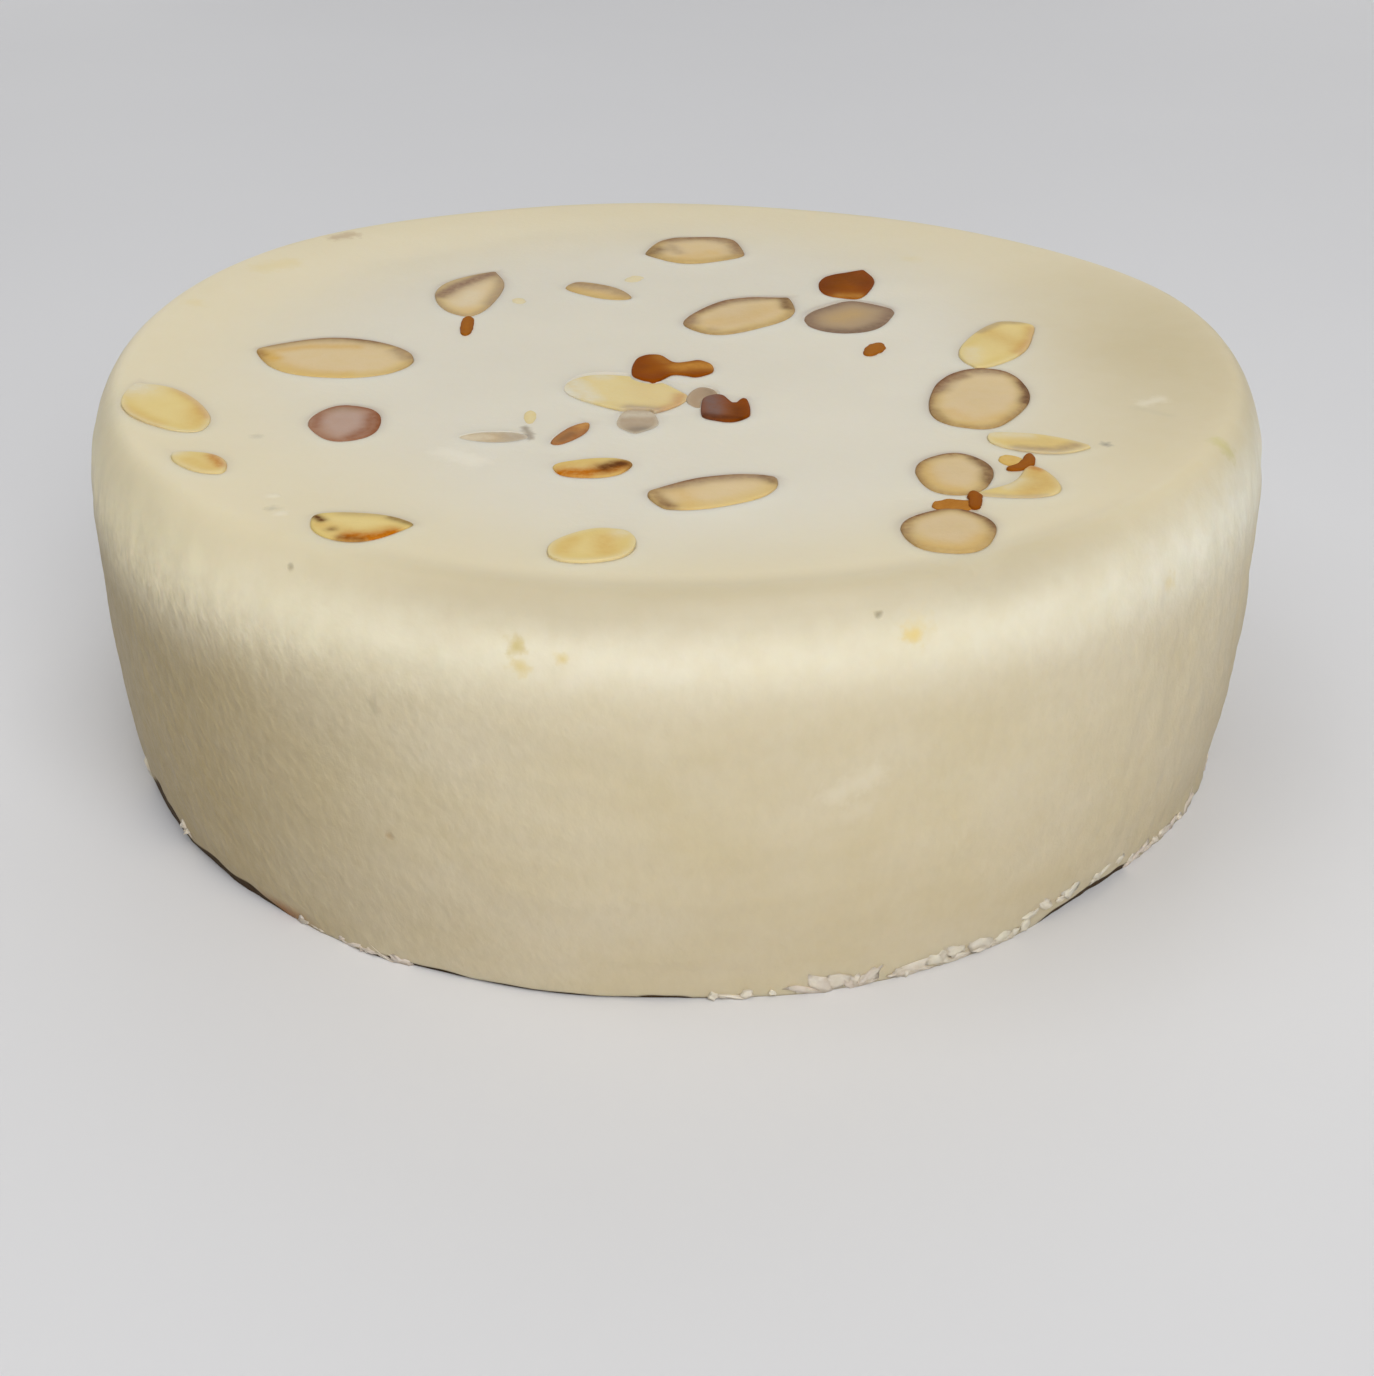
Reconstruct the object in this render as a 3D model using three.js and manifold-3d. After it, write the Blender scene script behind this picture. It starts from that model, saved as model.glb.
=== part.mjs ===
// A whole round cheesecake, uncut, with slices and scraps of almond set into its top.
// Millimetres, +Z up. The origin is the middle of the underside, and the front looks along -Y.

import * as THREE from "three";
import { mergeVertices } from "three/addons/utils/BufferGeometryUtils.js";
import Module from "manifold-3d";

const wasm = await Module();
wasm.setup();

// The turned form of the cake
const CAKE_RADIUS = 89; // at the belly: the cake of a 7-inch tin
const CAKE_HEIGHT = 57; // to the crest of the rim
const FOOT_RADIUS = 86.5;
const BELLY_HEIGHT = 26; // where the side is widest
const SHOULDER_DROP = 18; // how far down the rounding of the rim reaches
const SHOULDER_RUN = 6.5; // how far in it reaches
const CREST_RADIUS = CAKE_RADIUS - SHOULDER_RUN;
const DISH_DEPTH = 0.6; // the top lies this much below the crest
const DISH_FLOOR_RADIUS = 64;
const AROUND = 90; // facets round the cake
const SIDE_LEVELS = [0, 1.5, 3, 5, 9, 15, 21, BELLY_HEIGHT, 33];
const SHOULDER_STEPS = 7;
const TOP_RINGS = [78, 72, DISH_FLOOR_RADIUS, 42, 20];

// How the side departs from a turned form
const SIDE_WAVES = [
  { lobes: 1, depth: 0.35, phase: -165 },
  { lobes: 2, depth: 0.15, phase: 128 },
  { lobes: 3, depth: 0.5, phase: -49 },
  { lobes: 5, depth: 0.2, phase: 15 },
  { lobes: 9, depth: 0.12, phase: 200 },
];

// Where the rim stands above the crest's height, or below it
const RIM_RISES = [
  { azimuth: 152, spread: 30, size: 1.6 },
  { azimuth: 13, spread: 24, size: 1.1 },
  { azimuth: 72, spread: 24, size: -0.5 },
];

// The torn edge at the foot: hollows have a size above zero, lips one below
const FOOT_BAND = 5;
const FOOT_TEARS = [
  { azimuth: 206, spread: 6, size: 0.2 },
  { azimuth: 218, spread: 8, size: 0.5 },
  { azimuth: 230, spread: 4, size: 0.4 },
  { azimuth: 243, spread: 4, size: -0.7 },
  { azimuth: 286, spread: 14, size: -0.6 },
  { azimuth: 313, spread: 7, size: 0.5 },
  { azimuth: 331, spread: 10, size: -0.8 },
  { azimuth: 25, spread: 9, size: 1 },
  { azimuth: 62, spread: 12, size: -0.6 },
  { azimuth: 118, spread: 10, size: 1.1 },
  { azimuth: 160, spread: 9, size: -0.7 },
];

// Almond pieces
const GAP = 0.3; // clearance between a piece and what it is set into
const OUTLINE_POINTS = 20;
const EDGE_BEVEL = 0.25;
const WOBBLE = 0.02; // unevenness of an outline, as a share of its radius
const WOBBLE_LOBES = [3, 5];
const PINCH_SPREAD = 0.3; // how much of a half length a waist or a notch takes
const CUTTER_HEIGHT = 12; // tall enough to clear the top everywhere
const SEED = 7;

// thick: a piece's thickness, proud: how much of it stands above the top
const FLESH = { thick: 1.5, proud: 0.4, colour: 0xcdb586, roughness: 0.55 };
const YELLOW = { thick: 1.5, proud: 0.45, colour: 0xdcc483, roughness: 0.5 };
const SUNK = { thick: 1.4, proud: 0.2, colour: 0xa5917a, roughness: 0.6 };
const ROSY = { thick: 1.4, proud: 0.4, colour: 0xac8874, roughness: 0.6 };
const SKIN = { thick: 1, proud: 0.45, colour: 0x80491f, roughness: 0.65 };
const CUSTARD = { colour: 0xdcd2b4, roughness: 0.5 };

// at: the middle of the piece, size: length and width, turn: degrees from +X to its length.
// tip and tail: how pointed the far and near ends are, blunt below zero. taper: how much narrower
// the far end is. flat: how far one side is cut straight, the left one above zero and the right
// one below. bend: how far the ends bow to the left. waist: how far both sides are pinched at
// waistAt, and notch: how far the left one is at notchAt, from -1 at the near end to 1.
// A piece lies over those named above it, which are cut back to clear it.
const PIECES = [
  {
    node: "slice_back",
    kind: FLESH,
    at: [3, 52.4],
    size: [17.4, 15.6],
    turn: 189,
    tip: 0.4,
    tail: -0.45,
    flat: 0.3,
  },
  {
    node: "slice_back_left",
    kind: FLESH,
    at: [-34.5, 27.6],
    size: [24, 11],
    turn: 85,
    tip: 0.6,
    tail: 0.4,
    flat: -0.65,
  },
  { node: "stick_back", kind: FLESH, at: [-12.7, 28.5], size: [13, 6.4], turn: -38, tail: -0.25 },
  {
    node: "slice_mid_back",
    kind: FLESH,
    at: [10.8, 16.7],
    size: [22.8, 14],
    turn: 47,
    tip: 0.7,
    tail: -0.2,
    flat: 0.1,
  },
  {
    node: "skin_back_right",
    kind: SKIN,
    at: [28.6, 32.8],
    size: [16.6, 9.2],
    turn: 76,
    tip: 0.9,
    tail: -0.2,
    flat: -0.5,
  },
  { node: "slice_grey", kind: SUNK, at: [27.7, 15.3], size: [16.6, 13], turn: 57, tip: -0.4, tail: -0.2 },
  {
    node: "slice_left",
    kind: FLESH,
    at: [-52.1, -3.7],
    size: [25.2, 17.4],
    turn: -15,
    tip: 0.3,
    tail: 0.4,
    flat: 0.1,
  },
  {
    node: "slice_left_edge",
    kind: YELLOW,
    at: [-72.3, -26.4],
    size: [21.6, 10.2],
    turn: 126,
    tip: 0.75,
    tail: 0.15,
    flat: -0.3,
  },
  {
    node: "sliver_left",
    kind: YELLOW,
    at: [-62.8, -45.9],
    size: [10.4, 5.6],
    turn: 140,
    tip: 0.9,
    tail: 0.2,
    flat: 0.3,
  },
  { node: "slice_rosy", kind: ROSY, at: [-46.1, -30.9], size: [14, 10.1], turn: 100, tip: 0.1 },
  {
    node: "slice_front_left",
    kind: YELLOW,
    at: [-39, -66.8],
    size: [13, 9],
    turn: 172,
    tip: 0.3,
    tail: 0.3,
    flat: -0.6,
  },
  {
    node: "slice_centre",
    kind: YELLOW,
    at: [-7.3, -18.2],
    size: [18.8, 14],
    turn: -38,
    tip: -0.5,
    tail: -0.1,
  },
  {
    node: "skin_centre",
    kind: SKIN,
    at: [-0.5, -8.5],
    size: [12.3, 11.4],
    turn: -3,
    tip: -0.3,
    tail: -0.4,
    taper: 0.5,
    waist: 0.6,
    waistAt: 0.12,
  },
  { node: "chip_mauve", kind: SUNK, at: [-5.4, -30.2], size: [8.8, 5.8], turn: 268, tip: 0.5, tail: -0.4 },
  { node: "chip_lilac", kind: SUNK, at: [3.9, -20.4], size: [8.4, 4.6], turn: 78 },
  {
    node: "chip_dark",
    kind: SKIN,
    at: [7, -24.9],
    size: [7, 10.6],
    turn: 0,
    tip: -0.5,
    tail: -0.5,
    notch: 0.7,
    notchAt: 0.35,
  },
  { node: "sliver_pale", kind: SUNK, at: [-25, -36], size: [9.6, 4.2], turn: 181, tip: 0.6 },
  { node: "splinter_brown", kind: SKIN, at: [-14.3, -34.8], size: [9.4, 3.2], turn: 62, tip: 0.4 },
  {
    node: "sliver_centre",
    kind: YELLOW,
    at: [-10.9, -46.9],
    size: [10.6, 6.4],
    turn: 10,
    tip: 0.1,
    tail: -0.2,
    flat: 0.3,
  },
  {
    node: "slice_half",
    kind: FLESH,
    at: [5.2, -54.4],
    size: [17.8, 9.4],
    turn: 22,
    tip: 0.55,
    tail: -0.55,
    flat: 0.4,
  },
  { node: "slice_front", kind: YELLOW, at: [-9.9, -71.7], size: [12, 9.4], turn: 45, tip: 0.3, flat: 0.4 },
  {
    node: "slice_right_back",
    kind: YELLOW,
    at: [49.4, 2.2],
    size: [23, 9.6],
    turn: 245,
    tip: 0.6,
    tail: -0.5,
    flat: 0.1,
  },
  {
    node: "slice_right_large",
    kind: FLESH,
    at: [43.6, -20.8],
    size: [24.6, 14],
    turn: 74,
    tip: -0.15,
    tail: -0.2,
    flat: 0.3,
  },
  {
    node: "sliver_right",
    kind: YELLOW,
    at: [49.1, -38.5],
    size: [14, 6.4],
    turn: -16,
    tip: 0.9,
    tail: -0.4,
    flat: 0.3,
  },
  { node: "slice_right_mid", kind: FLESH, at: [36.4, -48.8], size: [14.4, 10.2], turn: 82 },
  {
    node: "slice_right_hook",
    kind: YELLOW,
    at: [45.3, -53.5],
    size: [13.2, 8.4],
    turn: 47,
    tip: -0.2,
    tail: 0.4,
    bend: 1.3,
  },
  { node: "slice_right_front", kind: FLESH, at: [33.3, -67.2], size: [14.6, 11.7], turn: 80, tip: 0.3 },
];

// Flecks of almond skin too small to be pieces of their own, which stick to the top
const FLECKS = [
  { at: [-33.4, 11.2], size: [7, 2.2], turn: 94 },
  { at: [30.3, 0.2], size: [6.4, 2.8], turn: 58 },
  { at: [46, -44.2], size: [5.4, 2.2], turn: 66 },
  { at: [35.8, -58.7], size: [5.4, 2.4], turn: -10 },
];
const FLECK_PROUD = 0.35;
const FLECK_THICK = 1.5;
const FLECK_POINTS = 8;

const UP = new THREE.Vector3(0, 0, 1);
const HALF_TURN = 180;
const WELD = 1e-4; // corners closer than this are one
const SLOPE_STEP = 0.5; // half the distance over which the top's slope is taken
const { degToRad, radToDeg, smoothstep } = THREE.MathUtils;

// Draws between 0 and 1, the same ones for the same seed
function seededDraw(seed) {
  const multiplier = 1664525;
  const increment = 1013904223;
  const range = 2 ** 32;
  let state = seed;
  return () => {
    state = (state * multiplier + increment) % range;
    return state / range;
  };
}

// A place's azimuth in degrees, from +X towards +Y
function azimuthOf(x, y) {
  return radToDeg(Math.atan2(y, x));
}

// The way from one azimuth to another, in degrees, the short way round
function azimuthGap(a, b) {
  return THREE.MathUtils.euclideanModulo(a - b + HALF_TURN, 2 * HALF_TURN) - HALF_TURN;
}

// The sum of some soft bumps at an azimuth
function bumpSum(bumps, azimuth) {
  let sum = 0;
  for (const bump of bumps) {
    const share = azimuthGap(azimuth, bump.azimuth) / bump.spread;
    sum += bump.size * Math.exp(-share * share);
  }
  return sum;
}

// The side's radius at a height below the shoulder
function sideRadius(height) {
  const share = 1 - height / BELLY_HEIGHT;
  const taper = height < BELLY_HEIGHT ? share * share : 0;
  return CAKE_RADIUS - (CAKE_RADIUS - FOOT_RADIUS) * taper;
}

// The dished top's height at a distance from the axis
function dishHeight(radius) {
  const rise = smoothstep(radius, DISH_FLOOR_RADIUS, CREST_RADIUS);
  return CAKE_HEIGHT - DISH_DEPTH * (1 - rise);
}

// The half outline of the turned form, from the middle of the underside to the middle of the top
function cakeProfile() {
  const outline = [new THREE.Vector2(0, 0)];
  for (const height of SIDE_LEVELS) {
    outline.push(new THREE.Vector2(sideRadius(height), height));
  }
  for (let step = 0; step <= SHOULDER_STEPS; step += 1) {
    const angle = (step / SHOULDER_STEPS) * (Math.PI / 2);
    const radius = CREST_RADIUS + SHOULDER_RUN * Math.cos(angle);
    const height = CAKE_HEIGHT + SHOULDER_DROP * (Math.sin(angle) - 1);
    outline.push(new THREE.Vector2(radius, height));
  }
  for (const radius of TOP_RINGS) {
    outline.push(new THREE.Vector2(radius, dishHeight(radius)));
  }
  outline.push(new THREE.Vector2(0, dishHeight(0)));
  return outline;
}

// How much of the rim's rise a place on the skin takes: all on the crest, none on the dish's
// floor and below the shoulder
function rimShare(radius, height) {
  const up = (height - CAKE_HEIGHT + SHOULDER_DROP) / SHOULDER_DROP;
  const out = smoothstep(radius, DISH_FLOOR_RADIUS, CREST_RADIUS);
  return radius < CREST_RADIUS && up > 0 ? out : Math.max(up, 0);
}

function topHeight(x, y) {
  const radius = Math.hypot(x, y);
  const height = dishHeight(radius);
  return height + bumpSum(RIM_RISES, azimuthOf(x, y)) * rimShare(radius, height);
}

function topNormal(x, y) {
  const slopeX = topHeight(x + SLOPE_STEP, y) - topHeight(x - SLOPE_STEP, y);
  const slopeY = topHeight(x, y + SLOPE_STEP) - topHeight(x, y - SLOPE_STEP);
  return new THREE.Vector3(-slopeX, -slopeY, 2 * SLOPE_STEP).normalize();
}

// How far the cake's skin stands out from the turned form at an azimuth in degrees
function sideWave(azimuth) {
  let out = 0;
  for (const { lobes, depth, phase } of SIDE_WAVES) {
    out += depth * Math.cos(degToRad(lobes * azimuth + phase));
  }
  return out;
}

// How far the torn foot draws in at an azimuth and a height
function footTear(azimuth, height) {
  if (height >= FOOT_BAND) return 0;
  return bumpSum(FOOT_TEARS, azimuth) * (1 - height / FOOT_BAND) ** 2;
}

// A closed solid of a geometry's triangles, placed by a matrix
function solidOf(geometry, matrix = new THREE.Matrix4()) {
  const bare = new THREE.BufferGeometry();
  bare.setAttribute("position", geometry.getAttribute("position").clone());
  bare.setIndex(geometry.getIndex());
  bare.applyMatrix4(matrix);
  const merged = mergeVertices(bare, WELD);
  const corners = [];
  const index = merged.getIndex().array;
  for (let at = 0; at < index.length; at += 3) {
    const [a, b, c] = index.slice(at, at + 3);
    if (a !== b && b !== c && c !== a) corners.push(a, b, c);
  }
  return new wasm.Manifold(
    new wasm.Mesh({
      numProp: 3,
      vertProperties: new Float32Array(merged.getAttribute("position").array),
      triVerts: new Uint32Array(corners),
    }),
  );
}

function geometryOf(solid) {
  const { vertProperties, triVerts } = solid.getMesh();
  const geometry = new THREE.BufferGeometry();
  geometry.setAttribute("position", new THREE.BufferAttribute(vertProperties, 3));
  geometry.setIndex(new THREE.BufferAttribute(triVerts, 1));
  geometry.computeVertexNormals();
  return geometry;
}

// The cake without its almonds: the turned form, made uneven
function cakeGeometry() {
  const geometry = new THREE.LatheGeometry(cakeProfile(), AROUND);
  geometry.rotateX(Math.PI / 2);
  const position = geometry.getAttribute("position");
  for (let at = 0; at < position.count; at += 1) {
    const [x, y, z] = [position.getX(at), position.getY(at), position.getZ(at)];
    const radius = Math.hypot(x, y);
    if (radius < WELD) continue;
    const azimuth = azimuthOf(x, y);
    const out = (sideWave(azimuth) * radius) / CAKE_RADIUS - footTear(azimuth, z);
    const grown = 1 + out / radius;
    const risen = z + bumpSum(RIM_RISES, azimuth) * rimShare(radius, z);
    position.setXYZ(at, x * grown, y * grown, risen);
  }
  return geometry;
}

// The half width of a piece's outline at a place u from -1, its near end, to 1, its far end:
// an exponent of a half makes an end round, and one makes it pointed
function halfWidth(u, { tip = 0, tail = 0, taper = 0 }) {
  const far = (1 + u) / 2;
  const pointed = tip * far ** 2 + tail * (1 - far) ** 2;
  return (1 - u * u) ** (0.5 + 0.5 * pointed) * (1 - taper * far);
}

// What a pinch leaves of a half width at a place u
function pinched(u, at, depth) {
  return 1 - depth * Math.exp(-(((u - at) / PINCH_SPREAD) ** 2));
}

// A piece's outline about its middle
function pieceOutline(piece, count, draw) {
  const { size, flat = 0, bend = 0, waist = 0, waistAt = 0, notch = 0, notchAt = 0 } = piece;
  const phases = WOBBLE_LOBES.map(() => draw() * Math.PI * 2);
  const points = [];
  for (let step = 0; step < count; step += 1) {
    const angle = (step / count) * Math.PI * 2;
    const u = Math.cos(angle);
    const side = Math.sign(Math.sin(angle));
    let half = halfWidth(u, piece) * pinched(u, waistAt, waist);
    if (side * flat > 0) half *= 1 - Math.abs(flat);
    if (side > 0) half *= pinched(u, notchAt, notch);
    const across = side * half + bend * u * u;
    let wobble = 1;
    WOBBLE_LOBES.forEach((lobes, nth) => {
      wobble += WOBBLE * Math.cos(lobes * angle + phases[nth]);
    });
    points.push(new THREE.Vector2(u, across).multiplyScalar(wobble));
  }
  const box = new THREE.Box2().setFromPoints(points);
  const scale = new THREE.Vector2(...size).divide(box.getSize(new THREE.Vector2()));
  const middle = box.getCenter(new THREE.Vector2());
  return points.map((point) => point.sub(middle).multiply(scale));
}

// An outline moved outwards by a distance, each point along the mean of its sides' normals
function grownOutline(points, distance) {
  return points.map((point, at) => {
    const before = points.at(at - 1);
    const after = points[(at + 1) % points.length];
    const along = after.clone().sub(before).normalize();
    return new THREE.Vector2(point.x + along.y * distance, point.y - along.x * distance);
  });
}

function plateGeometry(points, thick, bevel = 0) {
  return new THREE.ExtrudeGeometry(new THREE.Shape(points), {
    depth: thick - 2 * bevel,
    bevelEnabled: bevel > 0,
    bevelThickness: bevel,
    bevelSize: bevel,
    bevelOffset: -bevel,
    bevelSegments: 1,
  }).translate(0, 0, bevel);
}

// The frame of a piece lying in the top: X along its length, Z out of the cake, its foot at Z 0
function seatOn({ at: [x, y], turn }, depth) {
  const normal = topNormal(x, y);
  const seat = new THREE.Object3D();
  seat.position.set(x, y, topHeight(x, y)).addScaledVector(normal, -depth);
  seat.quaternion.setFromUnitVectors(UP, normal);
  seat.rotateZ(degToRad(turn));
  seat.updateMatrix();
  return seat;
}

// A piece with the space that it needs, each in its own frame
function makePiece(piece, draw) {
  const { thick, proud } = piece.kind;
  const outline = pieceOutline(piece, OUTLINE_POINTS, draw);
  const seat = seatOn(piece, thick - proud);
  const space = plateGeometry(grownOutline(outline, GAP), CUTTER_HEIGHT).translate(0, 0, -GAP);
  return { piece, seat, space, solid: solidOf(plateGeometry(outline, thick, EDGE_BEVEL)) };
}

// Whether two pieces may touch, by the circles that hold them
function mayTouch(one, other) {
  const reach = (one.piece.size[0] + other.piece.size[0]) / 2 + GAP;
  return one.seat.position.distanceTo(other.seat.position) < reach;
}

function namedMesh(node, geometry, { colour, roughness }) {
  const material = new THREE.MeshStandardMaterial({ color: colour, roughness, metalness: 0 });
  const mesh = new THREE.Mesh(geometry, material);
  mesh.name = node;
  return mesh;
}

function buildCheesecake() {
  const draw = seededDraw(SEED);
  const made = PIECES.map((piece) => makePiece(piece, draw));
  let cake = solidOf(cakeGeometry());
  for (const fleck of FLECKS) {
    const plate = plateGeometry(pieceOutline(fleck, FLECK_POINTS, draw), FLECK_THICK);
    cake = cake.add(solidOf(plate, seatOn(fleck, FLECK_THICK - FLECK_PROUD).matrix));
  }
  const whole = new THREE.Group();
  made.forEach((lower, at) => {
    cake = cake.subtract(solidOf(lower.space, lower.seat.matrix));
    const toLower = lower.seat.matrix.clone().invert();
    let solid = lower.solid;
    for (const upper of made.slice(at + 1).filter((other) => mayTouch(lower, other))) {
      solid = solid.subtract(solidOf(upper.space, toLower.clone().multiply(upper.seat.matrix)));
    }
    const mesh = namedMesh(lower.piece.node, geometryOf(solid), lower.piece.kind);
    mesh.position.copy(lower.seat.position);
    mesh.quaternion.copy(lower.seat.quaternion);
    whole.add(mesh);
  });
  whole.add(namedMesh("cake", geometryOf(cake), CUSTARD));
  return whole;
}

export default buildCheesecake();
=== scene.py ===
"""The look of a whole almond cheesecake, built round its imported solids.

Sizes are in millimetres and angles in degrees, unless a name says otherwise. Meshes are made in
metres, in the solids' own frame: +Z up, with the side that is looked at most towards -Y. Azimuths
run from +X towards +Y, so the front is at 270.
"""

from __future__ import annotations

import logging
import math
from collections.abc import Callable
from dataclasses import dataclass
from enum import Enum
from functools import cache

import bmesh
import bpy
import numpy as np
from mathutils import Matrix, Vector
from mathutils.geometry import delaunay_2d_cdt

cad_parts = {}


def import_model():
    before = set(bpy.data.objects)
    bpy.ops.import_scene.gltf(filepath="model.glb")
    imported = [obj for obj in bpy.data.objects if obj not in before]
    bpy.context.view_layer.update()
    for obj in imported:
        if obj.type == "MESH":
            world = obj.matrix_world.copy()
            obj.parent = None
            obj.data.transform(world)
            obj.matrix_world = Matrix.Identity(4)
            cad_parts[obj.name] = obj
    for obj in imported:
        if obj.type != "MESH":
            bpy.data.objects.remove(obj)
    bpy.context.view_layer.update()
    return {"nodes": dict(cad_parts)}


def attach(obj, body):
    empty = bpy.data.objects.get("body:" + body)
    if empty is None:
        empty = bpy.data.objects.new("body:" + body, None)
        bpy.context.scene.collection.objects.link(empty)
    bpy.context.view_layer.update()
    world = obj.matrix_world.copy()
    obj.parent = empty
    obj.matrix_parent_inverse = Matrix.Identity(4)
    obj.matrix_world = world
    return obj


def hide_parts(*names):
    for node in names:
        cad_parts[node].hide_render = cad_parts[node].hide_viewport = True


LOG = logging.getLogger("cheesecake")
MM = 0.001
BODY = "root"

Tone = tuple[float, float, float]
Place = tuple[float, float]
Pair = tuple[float, float]
Spot3 = tuple[float, float, float]
Socket = bpy.types.NodeSocket
Array = np.ndarray

TINY = 1e-12
MERGE = 1e-6
EVEN: Spot3 = (1.0, 1.0, 1.0)
CURVE_STEPS = 12
HASH_PRIMES = (73856093, 19349663, 83492791)
HASH_SEED = 40503
HASH_MIX = 1274126177


def tone(red: int, green: int, blue: int) -> Tone:
    """Turns a colour as seen on a screen into the linear one that shaders take.

    Args:
        red: Red from 0 to 255.
        green: Green from 0 to 255.
        blue: Blue from 0 to 255.

    Returns:
        The linear colour, each part from 0 to 1.
    """
    parts = []
    for part in (red, green, blue):
        share = part / 255
        parts.append(share / 12.92 if share <= 0.04045 else ((share + 0.055) / 1.055) ** 2.4)
    return parts[0], parts[1], parts[2]


def smoothstep(value: Array, low: float, high: float) -> Array:
    """Rises smoothly from 0 at low to 1 at high.

    Args:
        value: The values to look up.
        low: Where the rise begins.
        high: Where it ends.

    Returns:
        The risen shares, from 0 to 1.
    """
    share = np.clip((value - low) / (high - low), 0, 1)
    return share * share * (3 - 2 * share)


def smoothfall(value: Array, low: float, high: float) -> Array:
    """Falls smoothly from 1 at low to 0 at high."""
    return 1 - smoothstep(value, low, high)


def compass(count: int) -> Array:
    """Gives azimuths that divide the whole way round evenly."""
    return np.arange(count) * 360 / count


def turned(radius: Array, azimuth: Array, height: Array) -> Array:
    """Gives points by their distances from the axis, azimuths and heights, n by 3."""
    turn = np.radians(azimuth)
    return np.stack([radius * np.cos(turn), radius * np.sin(turn), height], axis=-1).reshape(-1, 3)


def relief(points: Array, scale: float, seed: int) -> Array:
    """Makes a smooth uneven field, the same for the same seed.

    Args:
        points: Places, n by 3.
        scale: The size of a hump.
        seed: Which field it is.

    Returns:
        Values from -1 to 1, one for each place.
    """
    share = points / scale
    cell = np.floor(share).astype(np.int64)
    share = share - cell
    share = share**3 * (share * (share * 6 - 15) + 10)
    total = np.zeros(len(points))
    for corner in np.ndindex(2, 2, 2):
        keys = (cell + corner) * HASH_PRIMES
        mixed = keys[:, 0] ^ keys[:, 1] ^ keys[:, 2] ^ (seed * HASH_SEED)
        mixed = (mixed ^ (mixed >> 13)) * HASH_MIX & 0xFFFFFFFF
        mixed = (mixed ^ (mixed >> 16)) & 0xFFFF
        weight = np.prod(np.where(corner, share, 1 - share), axis=1)
        total += weight * (2 * mixed / 0xFFFF - 1)
    return total


def even_loop(points: Array, count: int) -> Array:
    """Lays a smooth closed curve through points and divides it evenly.

    Args:
        points: The loop's points in order, n by 2.
        count: How many points to give back.

    Returns:
        The curve's points, count by 2.
    """
    before, after = np.roll(points, 1, axis=0), np.roll(points, -1, axis=0)
    beyond = np.roll(points, -2, axis=0)
    fine = []
    for step in np.linspace(0, 1, CURVE_STEPS, endpoint=False):
        fine.append(
            0.5
            * (
                2 * points
                + (after - before) * step
                + (2 * before - 5 * points + 4 * after - beyond) * step**2
                + (3 * points - before - 3 * after + beyond) * step**3
            )
        )
    curve = np.stack(fine, axis=1).reshape(-1, 2)
    closed = np.vstack([curve, curve[:1]])
    run = np.concatenate([[0], np.cumsum(np.hypot(*np.diff(closed, axis=0).T))])
    stops = np.linspace(0, run[-1], count, endpoint=False)
    return np.column_stack([np.interp(stops, run, closed[:, axis]) for axis in (0, 1)])


def grown_loop(loop: Array, distance: float) -> Array:
    """Moves a loop's points outwards.

    Args:
        loop: The loop's points, anticlockwise.
        distance: How far, below zero for inwards.

    Returns:
        The moved points.
    """
    along = np.roll(loop, -1, axis=0) - np.roll(loop, 1, axis=0)
    along /= np.maximum(np.hypot(*along.T), TINY)[:, None]
    return loop + distance * np.column_stack([along[:, 1], -along[:, 0]])


def loop_distance(places: Array, loop: Array) -> Array:
    """Measures how far places are outside a loop.

    Args:
        places: The places, n by 2.
        loop: The loop's points in order.

    Returns:
        Distances, below zero inside the loop.
    """
    side = np.roll(loop, -1, axis=0) - loop
    rel = places[:, None, :] - loop[None]
    share = np.clip((rel * side).sum(-1) / np.maximum((side**2).sum(-1), TINY), 0, 1)
    gap = rel - share[..., None] * side
    distance = np.sqrt((gap**2).sum(-1).min(axis=1))
    end = rel - side
    crosses = (rel[..., 1] > 0) != (end[..., 1] > 0)
    rise = np.where(np.abs(side[:, 1]) < TINY, TINY, side[:, 1])
    reach = rel[..., 0] - rel[..., 1] * side[:, 0] / rise
    inside = (crosses & (reach < 0)).sum(axis=1) % 2 == 1
    return np.where(inside, -distance, distance)


def path_distance(places: Array, path: tuple[Place, ...]) -> Array:
    """Measures how far places are from an open path.

    Args:
        places: The places, n by 2.
        path: The path's points, one or more.

    Returns:
        Distances, one for each place.
    """
    ends = np.array(path if len(path) > 1 else path * 2, dtype=float)
    side = np.diff(ends, axis=0)
    rel = places[:, None, :] - ends[None, :-1]
    share = np.clip((rel * side).sum(-1) / np.maximum((side**2).sum(-1), TINY), 0, 1)
    return np.sqrt(((rel - share[..., None] * side) ** 2).sum(-1).min(axis=1))


def honeycomb(low: Array, high: Array, spacing: float) -> Array:
    """Fills a rectangle with evenly spread places in staggered rows.

    Args:
        low: The rectangle's lower corner.
        high: Its upper corner.
        spacing: The distance between neighbours.

    Returns:
        The places, n by 2.
    """
    rise = spacing * math.sqrt(3) / 2
    rows = np.arange(low[1], high[1], rise)
    places = []
    for nth, row in enumerate(rows):
        run = np.arange(low[0] + (nth % 2) * spacing / 2, high[0], spacing)
        places.append(np.column_stack([run, np.full(len(run), row)]))
    return np.vstack(places)


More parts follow.
